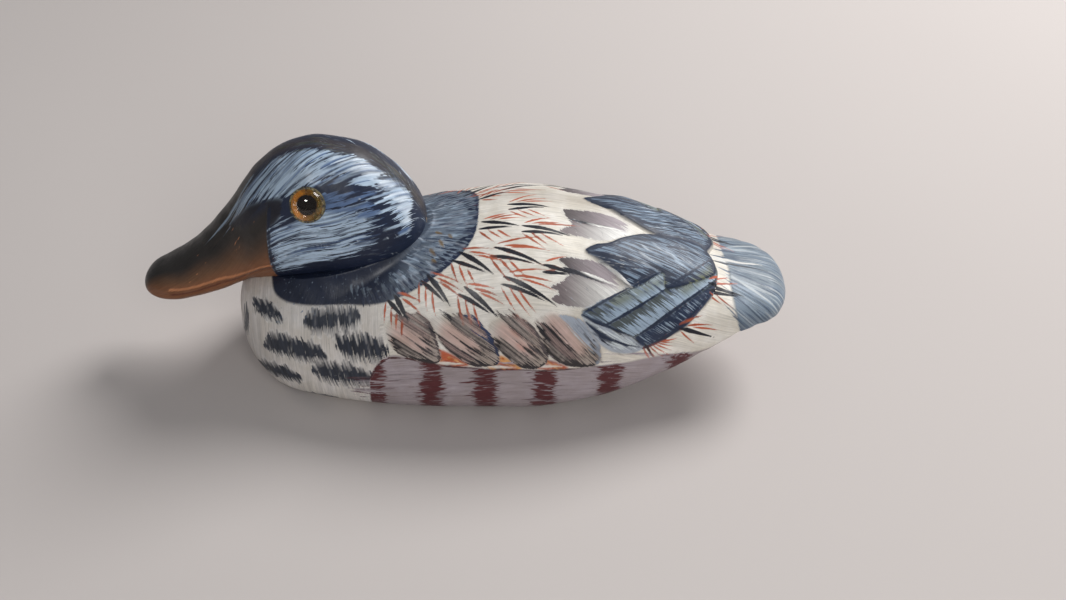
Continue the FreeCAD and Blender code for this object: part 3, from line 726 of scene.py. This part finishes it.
def carve_hull():
    """Heights of the carved wings, their feather steps and the tail, in mm."""
    level, reach = np.zeros(hull.X.shape), np.abs(hull.G)
    for _, place in reversed(SIDES):
        for area, height in ((COVERTS, 0.15), (FEATHER_3, 0.1), (FEATHER_2, 0.4), (FEATHER_1, 0.65),
                             (LOBE, 0.95)):
            where, depth = hull.distance(place(area), 1.0)
            raised = height + 0.25 * ease(depth, 0, 3)
            level[where] += (raised - level[where]) * ease(depth, -0.35, 0.35)
    rump = -0.9 * ease(hull.X, 46, 56) * (1 - ease(hull.X, 62, 74)) * (1 - ease(reach, 20, 30))
    hull.relief = level * (0.35 + 0.65 * ease(hull.X, 27, 34)) * 0.8 + rump * (level <= 0.02)
    tail, depth = hull.distance(TAIL, 1)
    hull.relief[tail] += 0.22 * ease(depth, -0.4, 0.4) * ease(hull.X[tail], 60, 62)
    ripple = np.sin(np.arctan2(hull.G - 1, hull.X - 40) * 42) * 0.09
    hull.relief += ripple * ease(hull.X, 62, 66) * (1 - ease(hull.X, 70, 75)) * (1 - ease(reach, 18, 24))
    for _, place in SIDES:
        for shape in FLANK:
            where, depth = hull.distance(place(shape), 1.0)
            hull.relief[where] += 0.08 * ease(depth, -0.3, 0.5) * ease(reach[where], 27, 34)


# Painted shade: a brown band on the right side of the back, just off the top line, from x = 0 to the tail
hull.lay("ground", slice(None), GLAZE_AND_SHADE_BROWN * 1.6, 0.34 * bell(hull.G, -6, 3.2) * ease(hull.X, 0, 12))
paint_breast()
paint_strip()
paint_flank()
paint_wings()
paint_tail()
paint_collar()
paint_tufts()
carve_hull()

# ---- head plumage and bill
head = Sheet(-79, -6, 66, NAVY)
rng = np.random.default_rng(3)                # the head's own draws
BILL_EDGE_X = -42.9
# x, g of the mouth line along the bill
MOUTH = np.array([(-77, 4), (-69.4, 8.6), (-66, 10.4), (-61.8, 12.4), (-56.5, 15.8), (-52, 20.2),
                  (-47.4, 25.8), (-42.5, 28.6)])


def mouth_line(x):
    """g of the mouth at x."""
    return smooth(MOUTH, 1, x)


def brush_heading(x, g):
    """Direction of the head's brush strokes in degrees from x, on the left side."""
    crown = 38 * (1 - ease(g, 10, 20)) * ease(x, -52, -40) * (1 - ease(x, -36, -22))
    return -np.minimum(2.6 * np.maximum(x + 36, 0) + crown, 62)


def brush_lines():
    """A coordinate across the head's brush strokes, followed along them from the bill back."""
    reach = np.abs(head.G[0])
    order = np.argsort(reach)
    level = np.abs(head.G)
    for i in range(1, len(level)):
        drop = np.tan(np.radians(brush_heading(head.X[i], reach))) * SHEET_STEP
        level[i] = np.interp(reach - drop, reach[order], level[i - 1][order])
    return level


def bill_edge(g):
    """x where the cheek ends and the bill begins."""
    return BILL_EDGE_X + 0.006 * (np.abs(g) - 23.5) ** 2


def paint_bill():
    reach, mouth = np.abs(head.G), mouth_line(head.X)
    girth = reach / mouth
    warm = ease(girth + 0.03 * np.sin(head.X * 0.7) - 0.10 * ease(head.X, -52, -44), 0.50, 0.94)
    tint = BILL_DARK + (BILL_BROWN - BILL_DARK) * warm[..., None]
    tint = tint + (BILL_ORANGE - tint) * (ease(girth, 0.80, 1.0) * 0.7)[..., None]
    tint = tint * (1 - 0.40 * ease(-head.X, 68, 76))[..., None]
    tint = tint + (BILL_ORANGE * 0.9 - tint) * ease(girth, 1.0, 1.12)[..., None]
    on_bill = 1 - ease(head.X - bill_edge(head.G), -0.2, 0.2)
    blend = ease(reach, 11, 15)
    cover = (1 - ease(head.X, -50, -44)) * (1 - blend) + on_bill * blend
    head.lay("ground", slice(None), tint, cover)
    head.turn(slice(None), (cover > 0.5) & (reach > 12), slant(0))
    head.keep(slice(None), 1 - on_bill * ease(reach, 11.5, 13))
    for side in (1, -1):
        ends = [(bill_edge(g) + 0.5, side * g) for g in (14, 19, 24, 28, 32)]
        for a, b in zip(ends, ends[1:]):
            head.stroke([a, b], 0.9, NAVY * 0.6, 0.85, blunt=0.95)
        # A painted highlight along the rounded lip of the mouth line, with a dark reddish line just below it
        lip_highlight_path = [(x, side * mouth_line(np.array(x))) for x in np.arange(-68, -42.4, 0.75)]
        for a, b in zip(lip_highlight_path, lip_highlight_path[1:]):
            head.stroke([a, b], 0.6, BILL_LIGHT, 0.65, blunt=0.95, soft=0.6)
            head.stroke([(x, g + side * 1.5) for x, g in (a, b)], 0.6, MOUTH_RED, 0.45, blunt=0.95, soft=0.7)
        for _ in range(16):                            # chips and scuffs
            x = rng.uniform(-73, -46)
            g = rng.uniform(2, mouth_line(np.array(x)) - 1) * side
            head.stroke([(x, g), (x + rng.uniform(0.2, 0.6), g + rng.uniform(-0.3, 0.3))],
                        rng.uniform(0.2, 0.38), BILL_LIGHT, 0.5, blunt=0.7)
        for _ in range(10):
            x, g = rng.normal(-51, 1.2), rng.normal(14.2, 0.9) * side
            head.stroke([(x, g), (x + 0.6, g - side * 0.4)], 0.24, BILL_LIGHT, 0.4, blunt=0.7)


LORES = [(-52, 7), (-49, 8.6), (-46, 9.9), (-43, 11.4), (-38.8, 13.4), (-40.4, 17.8), (-44, 17),
    (-48, 13)]
PALE_CROWN = [(-54, 4.2), (-49, 7.6), (-46.6, 9), (-43, 10.6), (-40, 12.4), (-37, 12.4), (-34.5, 11.6),
    (-30, 11.6), (-27.8, 10), (-23.9, 8.6), (-20, 9), (-17, 9.4), (-14.8, 10.4), (-13, 12), (-10.2, 10),
    (-8.9, 4), (-9.4, 1), (-11.7, 0.2), (-15.5, 0.2), (-20.6, 0.8), (-27.4, 0.8), (-34.1, 1.2),
    (-40.5, 3.0), (-44.6, 5), (-50, 4.4)]
PALE_CHEEK = [(-41.0, 18.2), (-36, 18.3), (-29.6, 17.9), (-23.8, 15.5), (-19.5, 14.7), (-19.2, 18.5),
    (-20.8, 23.3), (-26, 28.2), (-36, 31.9), (-41, 31), (-41.6, 24.1)]
BRIGHT_NAPE = [(-28, 4.6), (-22.7, 2.6), (-18.2, 1.4), (-13.9, 0.3), (-10.9, -0.1), (-9.2, 2.3),
    (-10.2, 9), (-12.5, 8.4), (-14.1, 6.4), (-18, 5.6), (-24, 6.8)]


def paint_head():
    reach = np.abs(head.G)
    head.lay("ground", slice(None), NAVY * 0.7, ease(reach, 24, 34) * 0.7)
    head.lay("ground", slice(None), GLAZE_AND_SHADE_BROWN * 0.6, (1 - ease(reach, 0.5, 3.5)) * 0.45)
    head.flow = np.stack([brush_lines(), head.X - 0.6 * reach], axis=-1)
    behind_eye = [(-30, 13), (-20, 11), (-18, 15), (-30, 18)]
    for side in (1, -1):
        flip = lambda points: [(x, g * side) for x, g in points]
        heading = lambda x, g: brush_heading(x, abs(g)) * side
        for area, tint, cover, soft, count, lengths in (
                (PALE_CROWN, PALE_BLUE * 0.94, 0.62, 3.0, 170, (7, 15)),
                (PALE_CHEEK, PALE_BLUE * 1.08, 0.62, 3.4, 110, (7, 15)),
                (behind_eye, MID_BLUE, 0.40, 3.0, 40, (4, 9)),
                (BRIGHT_NAPE, BRIGHT_BLUE * 0.98, 0.70, 2.2, 70, (4, 9))):
            head.patch("broad", flip(area), tint, cover, soft=soft)
            streaks(head, flip(area), count, heading, lengths, (0.20, 0.32),
                    [tint, tint * 1.15, tint, NAVY, MID_BLUE], cover=0.75, stray=1.2)
        where, depth = head.patch("broad", flip(LORES), BLACK, 0.9, soft=1.2)
        head.fine[where][..., 3] *= depth <= -0.2
        for area, count, lengths, widths, tints, cover in (
                ([(-19, 12), (-15, 14), (-13, 24), (-20, 29), (-22, 24)], 50, (2, 6), (0.2, 0.4),
                 [NAVY, CHARCOAL, DUSTY_BLUE * 0.7], 0.5),
                ([(-44, 0), (-30, -1), (-14, -1), (-12, 2), (-30, 1.6), (-44, 3)], 40, (3, 7), (0.25, 0.5),
                 [GLAZE_AND_SHADE_BROWN * 0.6, NAVY * 0.7, CHARCOAL], 0.6)):
            streaks(head, flip(area), count, heading, lengths, widths, tints, cover=cover)
        for _ in range(40):                            # flecks of pale paint
            x, g = rng.uniform(-40, -11), rng.uniform(12, 32) * side
            head.stroke([(x, g), (x + 0.2, g + 0.1)], rng.uniform(0.2, 0.36), BRIGHT_BLUE, 0.6, blunt=0.9)


def darken_crown():
    """Lets the dark ground show along the top of the head, less so on the nape."""
    start = 1.4 - 1.2 * ease(head.X, -20, -13) + np.where(head.G < 0, 3.8, 0)
    shown = (0.12 + 0.88 * ease(np.abs(head.G) - start, 0, 2.4)) * (1 - 0.85 * ease(head.X, -12.5, -10.5))
    head.keep(slice(None), np.where(head.X > -46, shown, 1.0))
    for _ in range(46):
        x, g = rng.uniform(-42, -12), rng.normal(0, 1.3)
        long = rng.uniform(3, 7)
        head.stroke([(x, g), (x + long, g + rng.normal(0, 0.3))], rng.uniform(0.2, 0.34),
                    (GLAZE_AND_SHADE_BROWN * 0.5, CHARCOAL, OLIVE * 0.35)[rng.integers(3)], 0.7)


def carve_head():
    """The cheek stands proud of the bill, and the mouth is a groove with a rounded lip below."""
    reach = np.abs(head.G)
    gap = reach - mouth_line(head.X)
    on_bill = 1 - ease(head.X - bill_edge(head.G), -0.5, 0.15)
    head.relief = -0.55 * on_bill * ease(reach, 10, 16) * ease(head.X, -62, -46)
    groove = bell(gap, 1.5, 0.7) * ease(head.X, -74, -70)
    lip = bell(gap, 0.2, 0.9) * ease(head.X, -74, -68)
    head.relief += on_bill * (0.20 * lip - 0.20 * groove)
    for side in (1, -1):                               # nostrils
        head.relief -= 0.2 * np.exp(-(((head.X + 56) / 1.5) ** 2 + ((head.G * side - 7.4) / 0.45) ** 2))


paint_head()
darken_crown()
paint_bill()
carve_head()


# ---- skins to meshes
def shelf(x, y, z, middle):
    """Raises the hull to the neck shelf, with a fillet round its foot."""
    slope = (SEAT_BACK[1] - SEAT_FRONT[1]) / (SEAT_BACK[0] - SEAT_FRONT[0])
    centre = (SEAT_FRONT[0] + SEAT_BACK[0]) / 2
    seat = SEAT_FRONT[1] + (x - SEAT_FRONT[0]) * slope
    reach = np.hypot((x - centre) / SHELF_TOP[0], y / SHELF_TOP[1])
    cone = seat - (reach - 1) * SHELF_TOP[1] / (SHELF_FOOT[1] - SHELF_TOP[1]) * (seat - SHELF_FOOT_Z)
    level = np.minimum(seat, cone)
    blend = 2.4
    gap = np.clip(0.5 + (level - z) / (2 * blend), 0, 1)
    raised = z + (level - z) * gap + blend * gap * (1 - gap)
    upper = ease(z, middle + 2, middle + 8)
    lifted = z + (raised - z) * upper
    return np.where(reach < 1.02, np.minimum(lifted, seat), lifted)


def relieve(skin, sheet):
    """The skin's points with the sheet's carving, which fades out at the cut."""
    height = sheet.sample("relief", skin.X, skin.g)
    return skin.points() + skin.normals() * (height * ease(skin.z - skin.cut[:, None], 0, 2))[..., None]


def wood_waver(points, size):
    """The faint unevenness that a knife leaves."""
    x, y, z = (points[..., k] for k in range(3))
    slow = np.sin(x * 0.42 + 1.7 * np.sin(z * 0.31)) * np.sin(z * 0.37 + 0.9 * np.sin(x * 0.23) + y * 0.11)
    return size * (slow + 0.5 * np.sin(x * 0.91 + z * 0.73 + y * 0.35))


def skin_object(name, skin, points, sheet, paint, pocket_z=None):
    """A closed mesh of the skin, its cut face and, with pocket_z, the hollow behind that face."""
    columns, rows = skin.g.shape
    shown = columns * rows
    index = np.arange(shown).reshape(columns, rows)
    index[~skin.open, -1] = index[~skin.open, 0]
    quads = np.stack([index[:-1, :-1], index[1:, :-1], index[1:, 1:], index[:-1, 1:]], axis=-1).reshape(-1, 4)
    opened = np.flatnonzero(skin.open)
    run = np.arange(max(opened[0] - 1, 0), min(opened[-1] + 1, columns - 1) + 1)
    level = np.where(skin.open[run], skin.cut[run], points[run, 0, 2])
    heights, reach = {"rim": level}, np.zeros(len(run))
    if pocket_z is not None:
        heights["end"] = np.full(len(run), pocket_z)
        beyond = np.maximum(np.abs(skin.x[run] - POCKET_X) - POCKET_REACH, 0)
        reach = np.sqrt(np.maximum(POCKET_R ** 2 - beyond ** 2, 0))
        within = np.flatnonzero(reach > 0)
        hollow = slice(within[0] - 1, within[-1] + 2)
    verts, rows_at = [points.reshape(-1, 3)], {}
    for side in (-1, 1):
        for key, height in heights.items():
            rows_at[side, key] = shown + len(rows_at) * len(run) + np.arange(len(run))
            verts.append(np.stack([skin.x[run], side * reach, height], axis=-1))

    def band(a, b, side=1):
        return np.stack([a[:-1], a[1:], b[1:], b[:-1]], axis=-1)[:, ::side]

    faces = [quads]
    for side, edge in ((-1, index[run, 0]), (1, index[run, -1])):
        faces.append(band(edge, rows_at[side, "rim"], side))
        if pocket_z is not None:
            faces.append(band(rows_at[side, "rim"][hollow], rows_at[side, "end"][hollow], side))
    if pocket_z is not None:
        faces.append(band(rows_at[-1, "end"][hollow], rows_at[1, "end"][hollow]))
    verts, faces = np.concatenate(verts), np.concatenate(faces)
    mesh = bpy.data.meshes.new(name)
    mesh.from_pydata((verts * MM).tolist(), [], faces.tolist())
    for layer in ("ground", "broad", "fine", "flow"):
        kind, field, width = ("VECTOR", "vector", 3) if layer == "flow" else ("COLOR", "color", 4)
        value = sheet.sample(layer, skin.X, skin.g).reshape(shown, -1)
        full = np.zeros((len(verts), width), np.float32)
        full[:shown, 3:] = 1
        full[:shown, :value.shape[1]] = value
        mesh.attributes.new(layer, "FLOAT_" + kind, "POINT").data.foreach_set(field, full.ravel())
    for material in (paint, basswood):
        mesh.materials.append(material)
    slots = np.ones(len(mesh.polygons), dtype=np.int32)
    slots[:len(quads)] = 0
    mesh.polygons.foreach_set("material_index", slots)
    piece = bpy.data.objects.new(name, mesh)
    bpy.context.scene.collection.objects.link(piece)
    tidy_mesh(mesh)
    return piece


def tidy_mesh(mesh):
    """Joins points that coincide, turns every face outwards and shades it smooth."""
    work = bmesh.new()
    work.from_mesh(mesh)
    bmesh.ops.remove_doubles(work, verts=work.verts, dist=2e-6)
    bmesh.ops.dissolve_degenerate(work, edges=work.edges, dist=1e-6)
    bmesh.ops.delete(work, geom=[v for v in work.verts if not v.link_faces], context="VERTS")
    bmesh.ops.holes_fill(work, edges=work.edges, sides=0)
    bmesh.ops.recalc_face_normals(work, faces=work.faces)
    work.to_mesh(mesh)
    work.free()
    mesh.polygons.foreach_set("use_smooth", np.ones(len(mesh.polygons), bool))
    mesh.set_sharp_from_angle(angle=math.radians(62))


# ---- materials
class Nodes:
    """Short calls for building a node material."""

    def __init__(self, name):
        self.material = bpy.data.materials.new(name)
        self.material.use_nodes = True
        self.tree = self.material.node_tree
        self.shader = self.tree.nodes["Principled BSDF"]

    def feed(self, node, feeds):
        """Sets a node's inputs to numbers, colours or points, or links other nodes' outputs to them."""
        for key, value in feeds.items():
            socket = node.inputs[key]
            if isinstance(value, bpy.types.NodeSocket):
                self.tree.links.new(value, socket)
            elif value is not None:
                socket.default_value = (*value[:3], 1.0) if socket.type == "RGBA" else value

    def add(self, kind, feeds=None, **settings):
        node = self.tree.nodes.new("ShaderNode" + kind)
        for key, value in settings.items():
            setattr(node, key, value)
        self.feed(node, feeds or {})
        return node

    def finish(self, **feeds):
        """Feeds the shader, whose inputs are named here with _ for a space. Returns the material."""
        self.feed(self.shader, {key.replace("_", " "): value for key, value in feeds.items()})
        return self.material

    def attribute(self, name):
        return self.add("Attribute", attribute_name=name)

    def vector(self, operation, a, b):
        return self.add("VectorMath", {0: a, 1: b}, operation=operation).outputs[0]

    def noise(self, vector, scale, detail=2.0, roughness=0.5, distortion=0.0):
        return self.add("TexNoise", {"Vector": vector, "Scale": scale, "Detail": detail,
                                     "Roughness": roughness, "Distortion": distortion}).outputs["Fac"]

    def remap(self, value, low, high, to_low=0.0, to_high=1.0, shape="SMOOTHSTEP"):
        return self.add("MapRange", {"Value": value, "From Min": low, "From Max": high, "To Min": to_low,
                                     "To Max": to_high}, interpolation_type=shape).outputs["Result"]

    def math(self, operation, a, b):
        return self.add("Math", {0: a, 1: b}, operation=operation).outputs[0]

    def mix(self, factor, a, b, blend="MIX"):
        return self.add("Mix", {0: factor, 6: a, 7: b}, data_type="RGBA", blend_type=blend).outputs[2]

    def bump(self, height, distance, strength=1.0, normal=None):
        return self.add("Bump", {"Distance": distance * MM, "Strength": strength, "Height": height,
                                 "Normal": normal}).outputs[0]

    def position(self):
        """Place on the object in millimetres."""
        return self.vector("MULTIPLY", self.add("TexCoord").outputs["Object"], (1000, 1000, 1000))


def painted_wood(name, fringe, coat, bristles):
    """Brushed paint over wood under satin varnish, laid out by the mesh's paint layers."""
    n = Nodes(name)
    flow = n.attribute("flow").outputs["Vector"]

    def brushed(scale, *detail):
        lines = n.noise(n.vector("MULTIPLY", flow, scale), 1.0, *detail)
        return n.remap(lines, 0.3, 0.7, -0.5, 0.5, "LINEAR")

    hair, coarse = brushed((bristles, 0.045 * bristles, 0), 2.5, 0.6), brushed((1.2, 0.07, 0), 2.0)
    bristle = n.math("ADD", n.math("MULTIPLY", hair, 0.75), n.math("MULTIPLY", coarse, 0.45))
    ground, broad, fine = (n.attribute(layer) for layer in ("ground", "broad", "fine"))

    def mask(layer, ragged, by, edge, bare):
        """Where a layer's paint shows: its cover, made ragged by the bristles."""
        alpha = layer.outputs["Alpha"]
        shown = n.remap(n.math("ADD", alpha, n.math("MULTIPLY", ragged, by)), *edge)
        return n.math("MULTIPLY", shown, n.remap(alpha, *bare))

    broad_mask = mask(broad, bristle, fringe, (0.42, 0.58), (0.01, 0.12))
    fine_mask = mask(fine, hair, 0.22, (0.18, 0.50), (0.02, 0.2))
    place = n.position()
    mottle = n.mix(n.remap(n.noise(place, 0.16, 4.0, 0.6), 0.35, 0.7), (0.90, 0.88, 0.84), (1.06, 1.06, 1.07))
    tint = n.mix(1.0, ground.outputs["Color"], mottle, "MULTIPLY")
    tint = n.mix(broad_mask, tint, broad.outputs["Color"])
    tint = n.mix(fine_mask, tint, fine.outputs["Color"])
    shade = n.remap(bristle, -0.5, 0.5, 0.80, 1.20, "LINEAR")
    lit = n.add("VectorMath", {0: tint, "Scale": shade}, operation="SCALE").outputs[0]
    specks = n.remap(n.noise(place, 2.3, 3.0, 0.7), 0.70, 0.745)
    thickness = n.math("ADD", n.math("MULTIPLY", fine_mask, 0.5), n.math("MULTIPLY", broad_mask, 0.35))
    relief = n.bump(n.math("ADD", thickness, n.math("MULTIPLY", bristle, 0.55)), 0.10, 0.55)
    return n.finish(
        Base_Color=n.mix(n.math("MULTIPLY", specks, 0.6), lit, (0.10, 0.085, 0.06)),
        Roughness=n.remap(n.noise(place, 0.5, 3.0), 0.3, 0.7, 0.42, 0.58),
        Coat_Weight=coat, Coat_Roughness=0.30, Specular_IOR_Level=0.35,
        Normal=n.bump(n.noise(place, 0.9, 3.0), 0.25, 0.25, relief),
        Coat_Normal=n.bump(n.noise(place, 0.7, 2.0), 0.2, 0.2))


def raw_wood(name, light, dark, grain=(0.05, 1.6, 1.6)):
    """Bare wood with rings along the grain, and pores."""
    n = Nodes(name)
    rings = n.noise(n.vector("MULTIPLY", n.position(), grain), 1.0, 4.0, 0.6, 0.6)
    pores = n.noise(n.vector("MULTIPLY", n.position(), (0.4, 7, 7)), 1.0, 2.0)
    tint = n.mix(n.remap(rings, 0.35, 0.65), light, dark)
    return n.finish(Base_Color=n.mix(n.remap(pores, 0.6, 0.75, 0.0, 0.5), tint, dark * 0.5), Roughness=0.62,
                    Normal=n.bump(pores, 0.08, 0.4))


def metal(name, tint, roughness, scale, pitted):
    """Metal with fine tone and pitting."""
    n = Nodes(name)
    tone = n.noise(n.position(), scale, 4.0, 0.6)
    return n.finish(Base_Color=n.mix(n.remap(tone, 0.35, 0.7), tint * 0.7, tint * 1.1), Metallic=1.0,
                    Roughness=n.remap(tone, 0.3, 0.7, roughness - 0.08, roughness + 0.12),
                    Normal=n.bump(tone, pitted, 0.5))


def pupil_centre(side_name):
    """The middle of an eye's pupil in millimetres."""
    return np.array([(a + b) / 2 / MM for a, b in zip(*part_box(f"eye_pupil_{side_name}"))])


def eye_materials(side_name):
    """Glass, iris, pupil and putty for one eye."""
    eye = {part: Nodes(f"{part}_{side_name}") for part in ("eye_glass", "eye_iris", "eye_pupil", "eye_putty")}
    glass, iris, pupil, putty = eye.values()
    clear = glass.add("BsdfTransparent").outputs[0]    # lets light through to the iris
    through = glass.add("MixShader", {0: glass.add("LightPath").outputs["Is Shadow Ray"],
                                      1: glass.shader.outputs[0], 2: clear}).outputs[0]
    glass.feed(glass.tree.nodes["Material Output"], {"Surface": through})
    glass.finish(Base_Color=(1.0, 0.97, 0.90), Roughness=0.03, IOR=1.5, Transmission_Weight=1.0,
                 Normal=glass.bump(glass.noise(glass.position(), 0.5, 1.0), 0.05, 0.2))

    away = iris.vector("SUBTRACT", iris.position(), tuple(pupil_centre(side_name)))
    radius = iris.add("VectorMath", {0: away}, operation="LENGTH").outputs["Value"]
    # Painted light and shade across the iris: lighter amber towards the bill, darker olive towards the back
    along = iris.add("SeparateXYZ", {0: away}).outputs["X"]
    amber = iris.mix(iris.remap(along, -2.4, 2.0), colour(156, 98, 20), colour(66, 58, 22))
    for value, limits, tint in ((radius, (2.9, 3.3, 0.0, 0.7), colour(104, 90, 40)),
                                (iris.noise(away, 1.6, 3.0, 0.6), (0.4, 0.7, 0.0, 0.5), colour(118, 72, 16)),
                                (radius, (1.65, 2.1, 0.8, 0.0), colour(40, 22, 8))):
        amber = iris.mix(iris.remap(value, *limits), amber, tint)
    iris.finish(Base_Color=amber, Roughness=0.3, Specular_IOR_Level=0.1)

    tone = pupil.noise(pupil.position(), 2.0)
    pupil.finish(Base_Color=pupil.mix(tone, (0.004, 0.003, 0.003), (0.012, 0.008, 0.006)), Roughness=0.4,
                 Specular_IOR_Level=0.0)

    crumbs = putty.noise(putty.position(), 1.4, 4.0, 0.65)
    tint = putty.mix(putty.remap(crumbs, 0.40, 0.62), colour(40, 40, 42), colour(138, 126, 86))
    putty.finish(Base_Color=tint, Roughness=0.55, Normal=putty.bump(crumbs, 0.15, 0.6))
    return eye


def carved(name, skin, sheet, waver, paint, pocket_z=None, press=None):
    """A skin object with the sheet's carving and a knife's unevenness, both fading out at the cut."""
    points = relieve(skin, sheet)
    points += skin.normals() * wood_waver(points, waver)[..., None] * np.clip(
        (points[..., 2:] - skin.cut[:, None, None]) / 3, 0, 1)
    return skin_object(name, skin, press(points) if press else points, sheet, paint, pocket_z)


def give(node, material):
    """Puts a material on a CAD node."""
    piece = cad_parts[node]
    if not piece.data.materials:
        piece.data.materials.append(material)
    for slot in piece.material_slots:
        slot.material = material


# ---- the pieces
hull_paint = painted_wood("hull_paint", 0.95, 0.14, 3.2)
head_paint = painted_wood("head_paint", 1.1, 0.22, 3.8)
basswood = raw_wood("basswood", colour(214, 184, 142), colour(186, 150, 106))


def build_hull():
    seam = lambda x: np.full_like(x, SEAM_Z)
    upper = Skin(HULL, HULL_ROUNDS, HULL_POWERS, 400, above=seam)
    lower = Skin(HULL, HULL_ROUNDS, HULL_POWERS, 190, below=seam)
    middle = np.repeat(smooth(HULL, 3, upper.x)[:, None], upper.z.shape[1], axis=1)
    upper.z = shelf(upper.X, upper.y, upper.z, middle)
    lower.z = np.maximum(lower.z, 0)
    top = carved("hull_upper_carved", upper, hull, 0.07, hull_paint, POCKET_TOP_Z)
    board = skin_object("hull_lower_carved", lower, lower.points(), hull, hull_paint, POCKET_FLOOR_Z)
    for piece, node, slot in ((top, "hull_upper", "upper_hull_paint"),
                              (board, "hull_lower", "lower_hull_paint")):
        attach(piece, "root")
        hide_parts(node)


def seat_height(x):
    """Height of the cut under the head: the chin, then the neck seat."""
    xs, heights = zip((CHIN[0] - 0.01, 0), CHIN, SEAT_FRONT, SEAT_BACK)
    return np.interp(x, xs, heights)


def sink_sockets(points):
    """Presses an eye socket into each cheek, and raises the lid round it."""
    for name, side in (("left", 1), ("right", -1)):
        axis = EYE_AXIS * (1, side, 1)
        away = points - pupil_centre(name)
        along = away @ axis
        radius = np.linalg.norm(away - along[..., None] * axis, axis=-1)
        near = along > -6
        sink = (radius < SOCKET_R) & near
        points = np.where(sink[..., None], points + ((SOCKET_FLOOR - along) * sink)[..., None] * axis, points)
        lid = bell(radius, LID_R, 0.8) * LID_HEIGHT * near * ~sink
        points = points + lid[..., None] * axis
    return points


def build_head():
    skin = Skin(HEAD, HEAD_ROUNDS, HEAD_POWERS, 340, above=seat_height, step=0.25)
    piece = carved("head_carved", skin, head, 0.05, head_paint, press=sink_sockets)
    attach(piece, "root")
    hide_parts("head_block")


def dress_inner_parts():
    birch = raw_wood("birch", colour(222, 192, 150), colour(190, 152, 108), (1.6, 1.6, 0.08))
    lead = metal("cast_lead", colour(120, 124, 130), 0.55, 0.35, 0.2)
    brass = metal("screw_brass", colour(212, 174, 98), 0.32, 1.2, 0.03)
    steel = metal("pin_steel", colour(170, 168, 162), 0.35, 2.0, 0.02)
    for node, material in (("neck_dowel", birch), ("hull_dowels", birch), ("ballast_bar", lead),
                           ("ballast_screws", brass)):
        give(node, material)
    for side_name in ("left", "right"):
        for node, nodes in eye_materials(side_name).items():
            give(f"{node}_{side_name}", nodes.material)
        give(f"eye_pin_{side_name}", steel)


# ---- floor, light and camera
def build_floor():
    bpy.ops.mesh.primitive_plane_add(size=6, location=(0, 0, 0))
    floor = bpy.context.object
    floor.name = "floor"
    n = Nodes("pale_floor")
    tone = n.noise(n.position(), 0.004, 2.0)
    floor.data.materials.append(n.finish(
        Base_Color=n.mix(tone, colour(196, 189, 186), colour(203, 197, 194)), Roughness=0.9))


def area_light(name, place, target, size, power, tint, in_paint=True, in_gloss=True):
    light = bpy.data.lights.new(name, "AREA")
    light.shape, light.size, light.energy, light.color = "DISK", size, power, tint
    lamp = bpy.data.objects.new(name, light)
    lamp.location = place
    lamp.visible_diffuse, lamp.visible_glossy = in_paint, in_gloss
    lamp.rotation_euler = (Vector(target) - Vector(place)).to_track_quat("-Z", "Y").to_euler()
    bpy.context.scene.collection.objects.link(lamp)


def build_light():
    middle, warm = (0, 0, 0.02), (1.0, 0.985, 0.97)
    area_light("window", (0.40, 0.34, 0.56), middle, 0.42, 5.3, warm)
    area_light("room", (0.22, -0.76, 0.50), middle, 0.6, 3.3, warm, in_gloss=False)
    area_light("glint", (-0.15, -0.34, 0.53), (-0.033, -0.012, 0.047), 0.13, 1.6, (1, 1, 1), in_paint=False)
    world = bpy.data.worlds.new("studio")
    world.use_nodes = True
    sky = world.node_tree.nodes["Background"].inputs
    sky["Color"].default_value = (0.93, 0.95, 1.0, 1)
    sky["Strength"].default_value = 0.19
    bpy.context.scene.world = world
    bpy.context.scene.view_settings.view_transform = "Standard"


def build_camera():
    """A view from the duck's left, 38.5 degrees up, a little off level."""
    azimuth, rise, roll = (math.radians(v) for v in (-0.5, 38.5, 1.5))
    data = bpy.data.cameras.new("camera")
    data.sensor_width, data.lens = 36, 43.9
    camera = bpy.data.objects.new("camera", data)
    camera.matrix_world = (
        Matrix.Translation((0.01635, 0, 0.0161)) @ Matrix.Rotation(azimuth, 4, "Z")
        @ Matrix.Rotation(math.pi / 2 - rise, 4, "X") @ Matrix.Rotation(roll, 4, "Z")
        @ Matrix.Translation((0, 0, 0.312)))
    bpy.context.scene.collection.objects.link(camera)
    bpy.context.scene.camera = camera


build_hull()
build_head()
dress_inner_parts()
build_floor()
build_light()
build_camera()
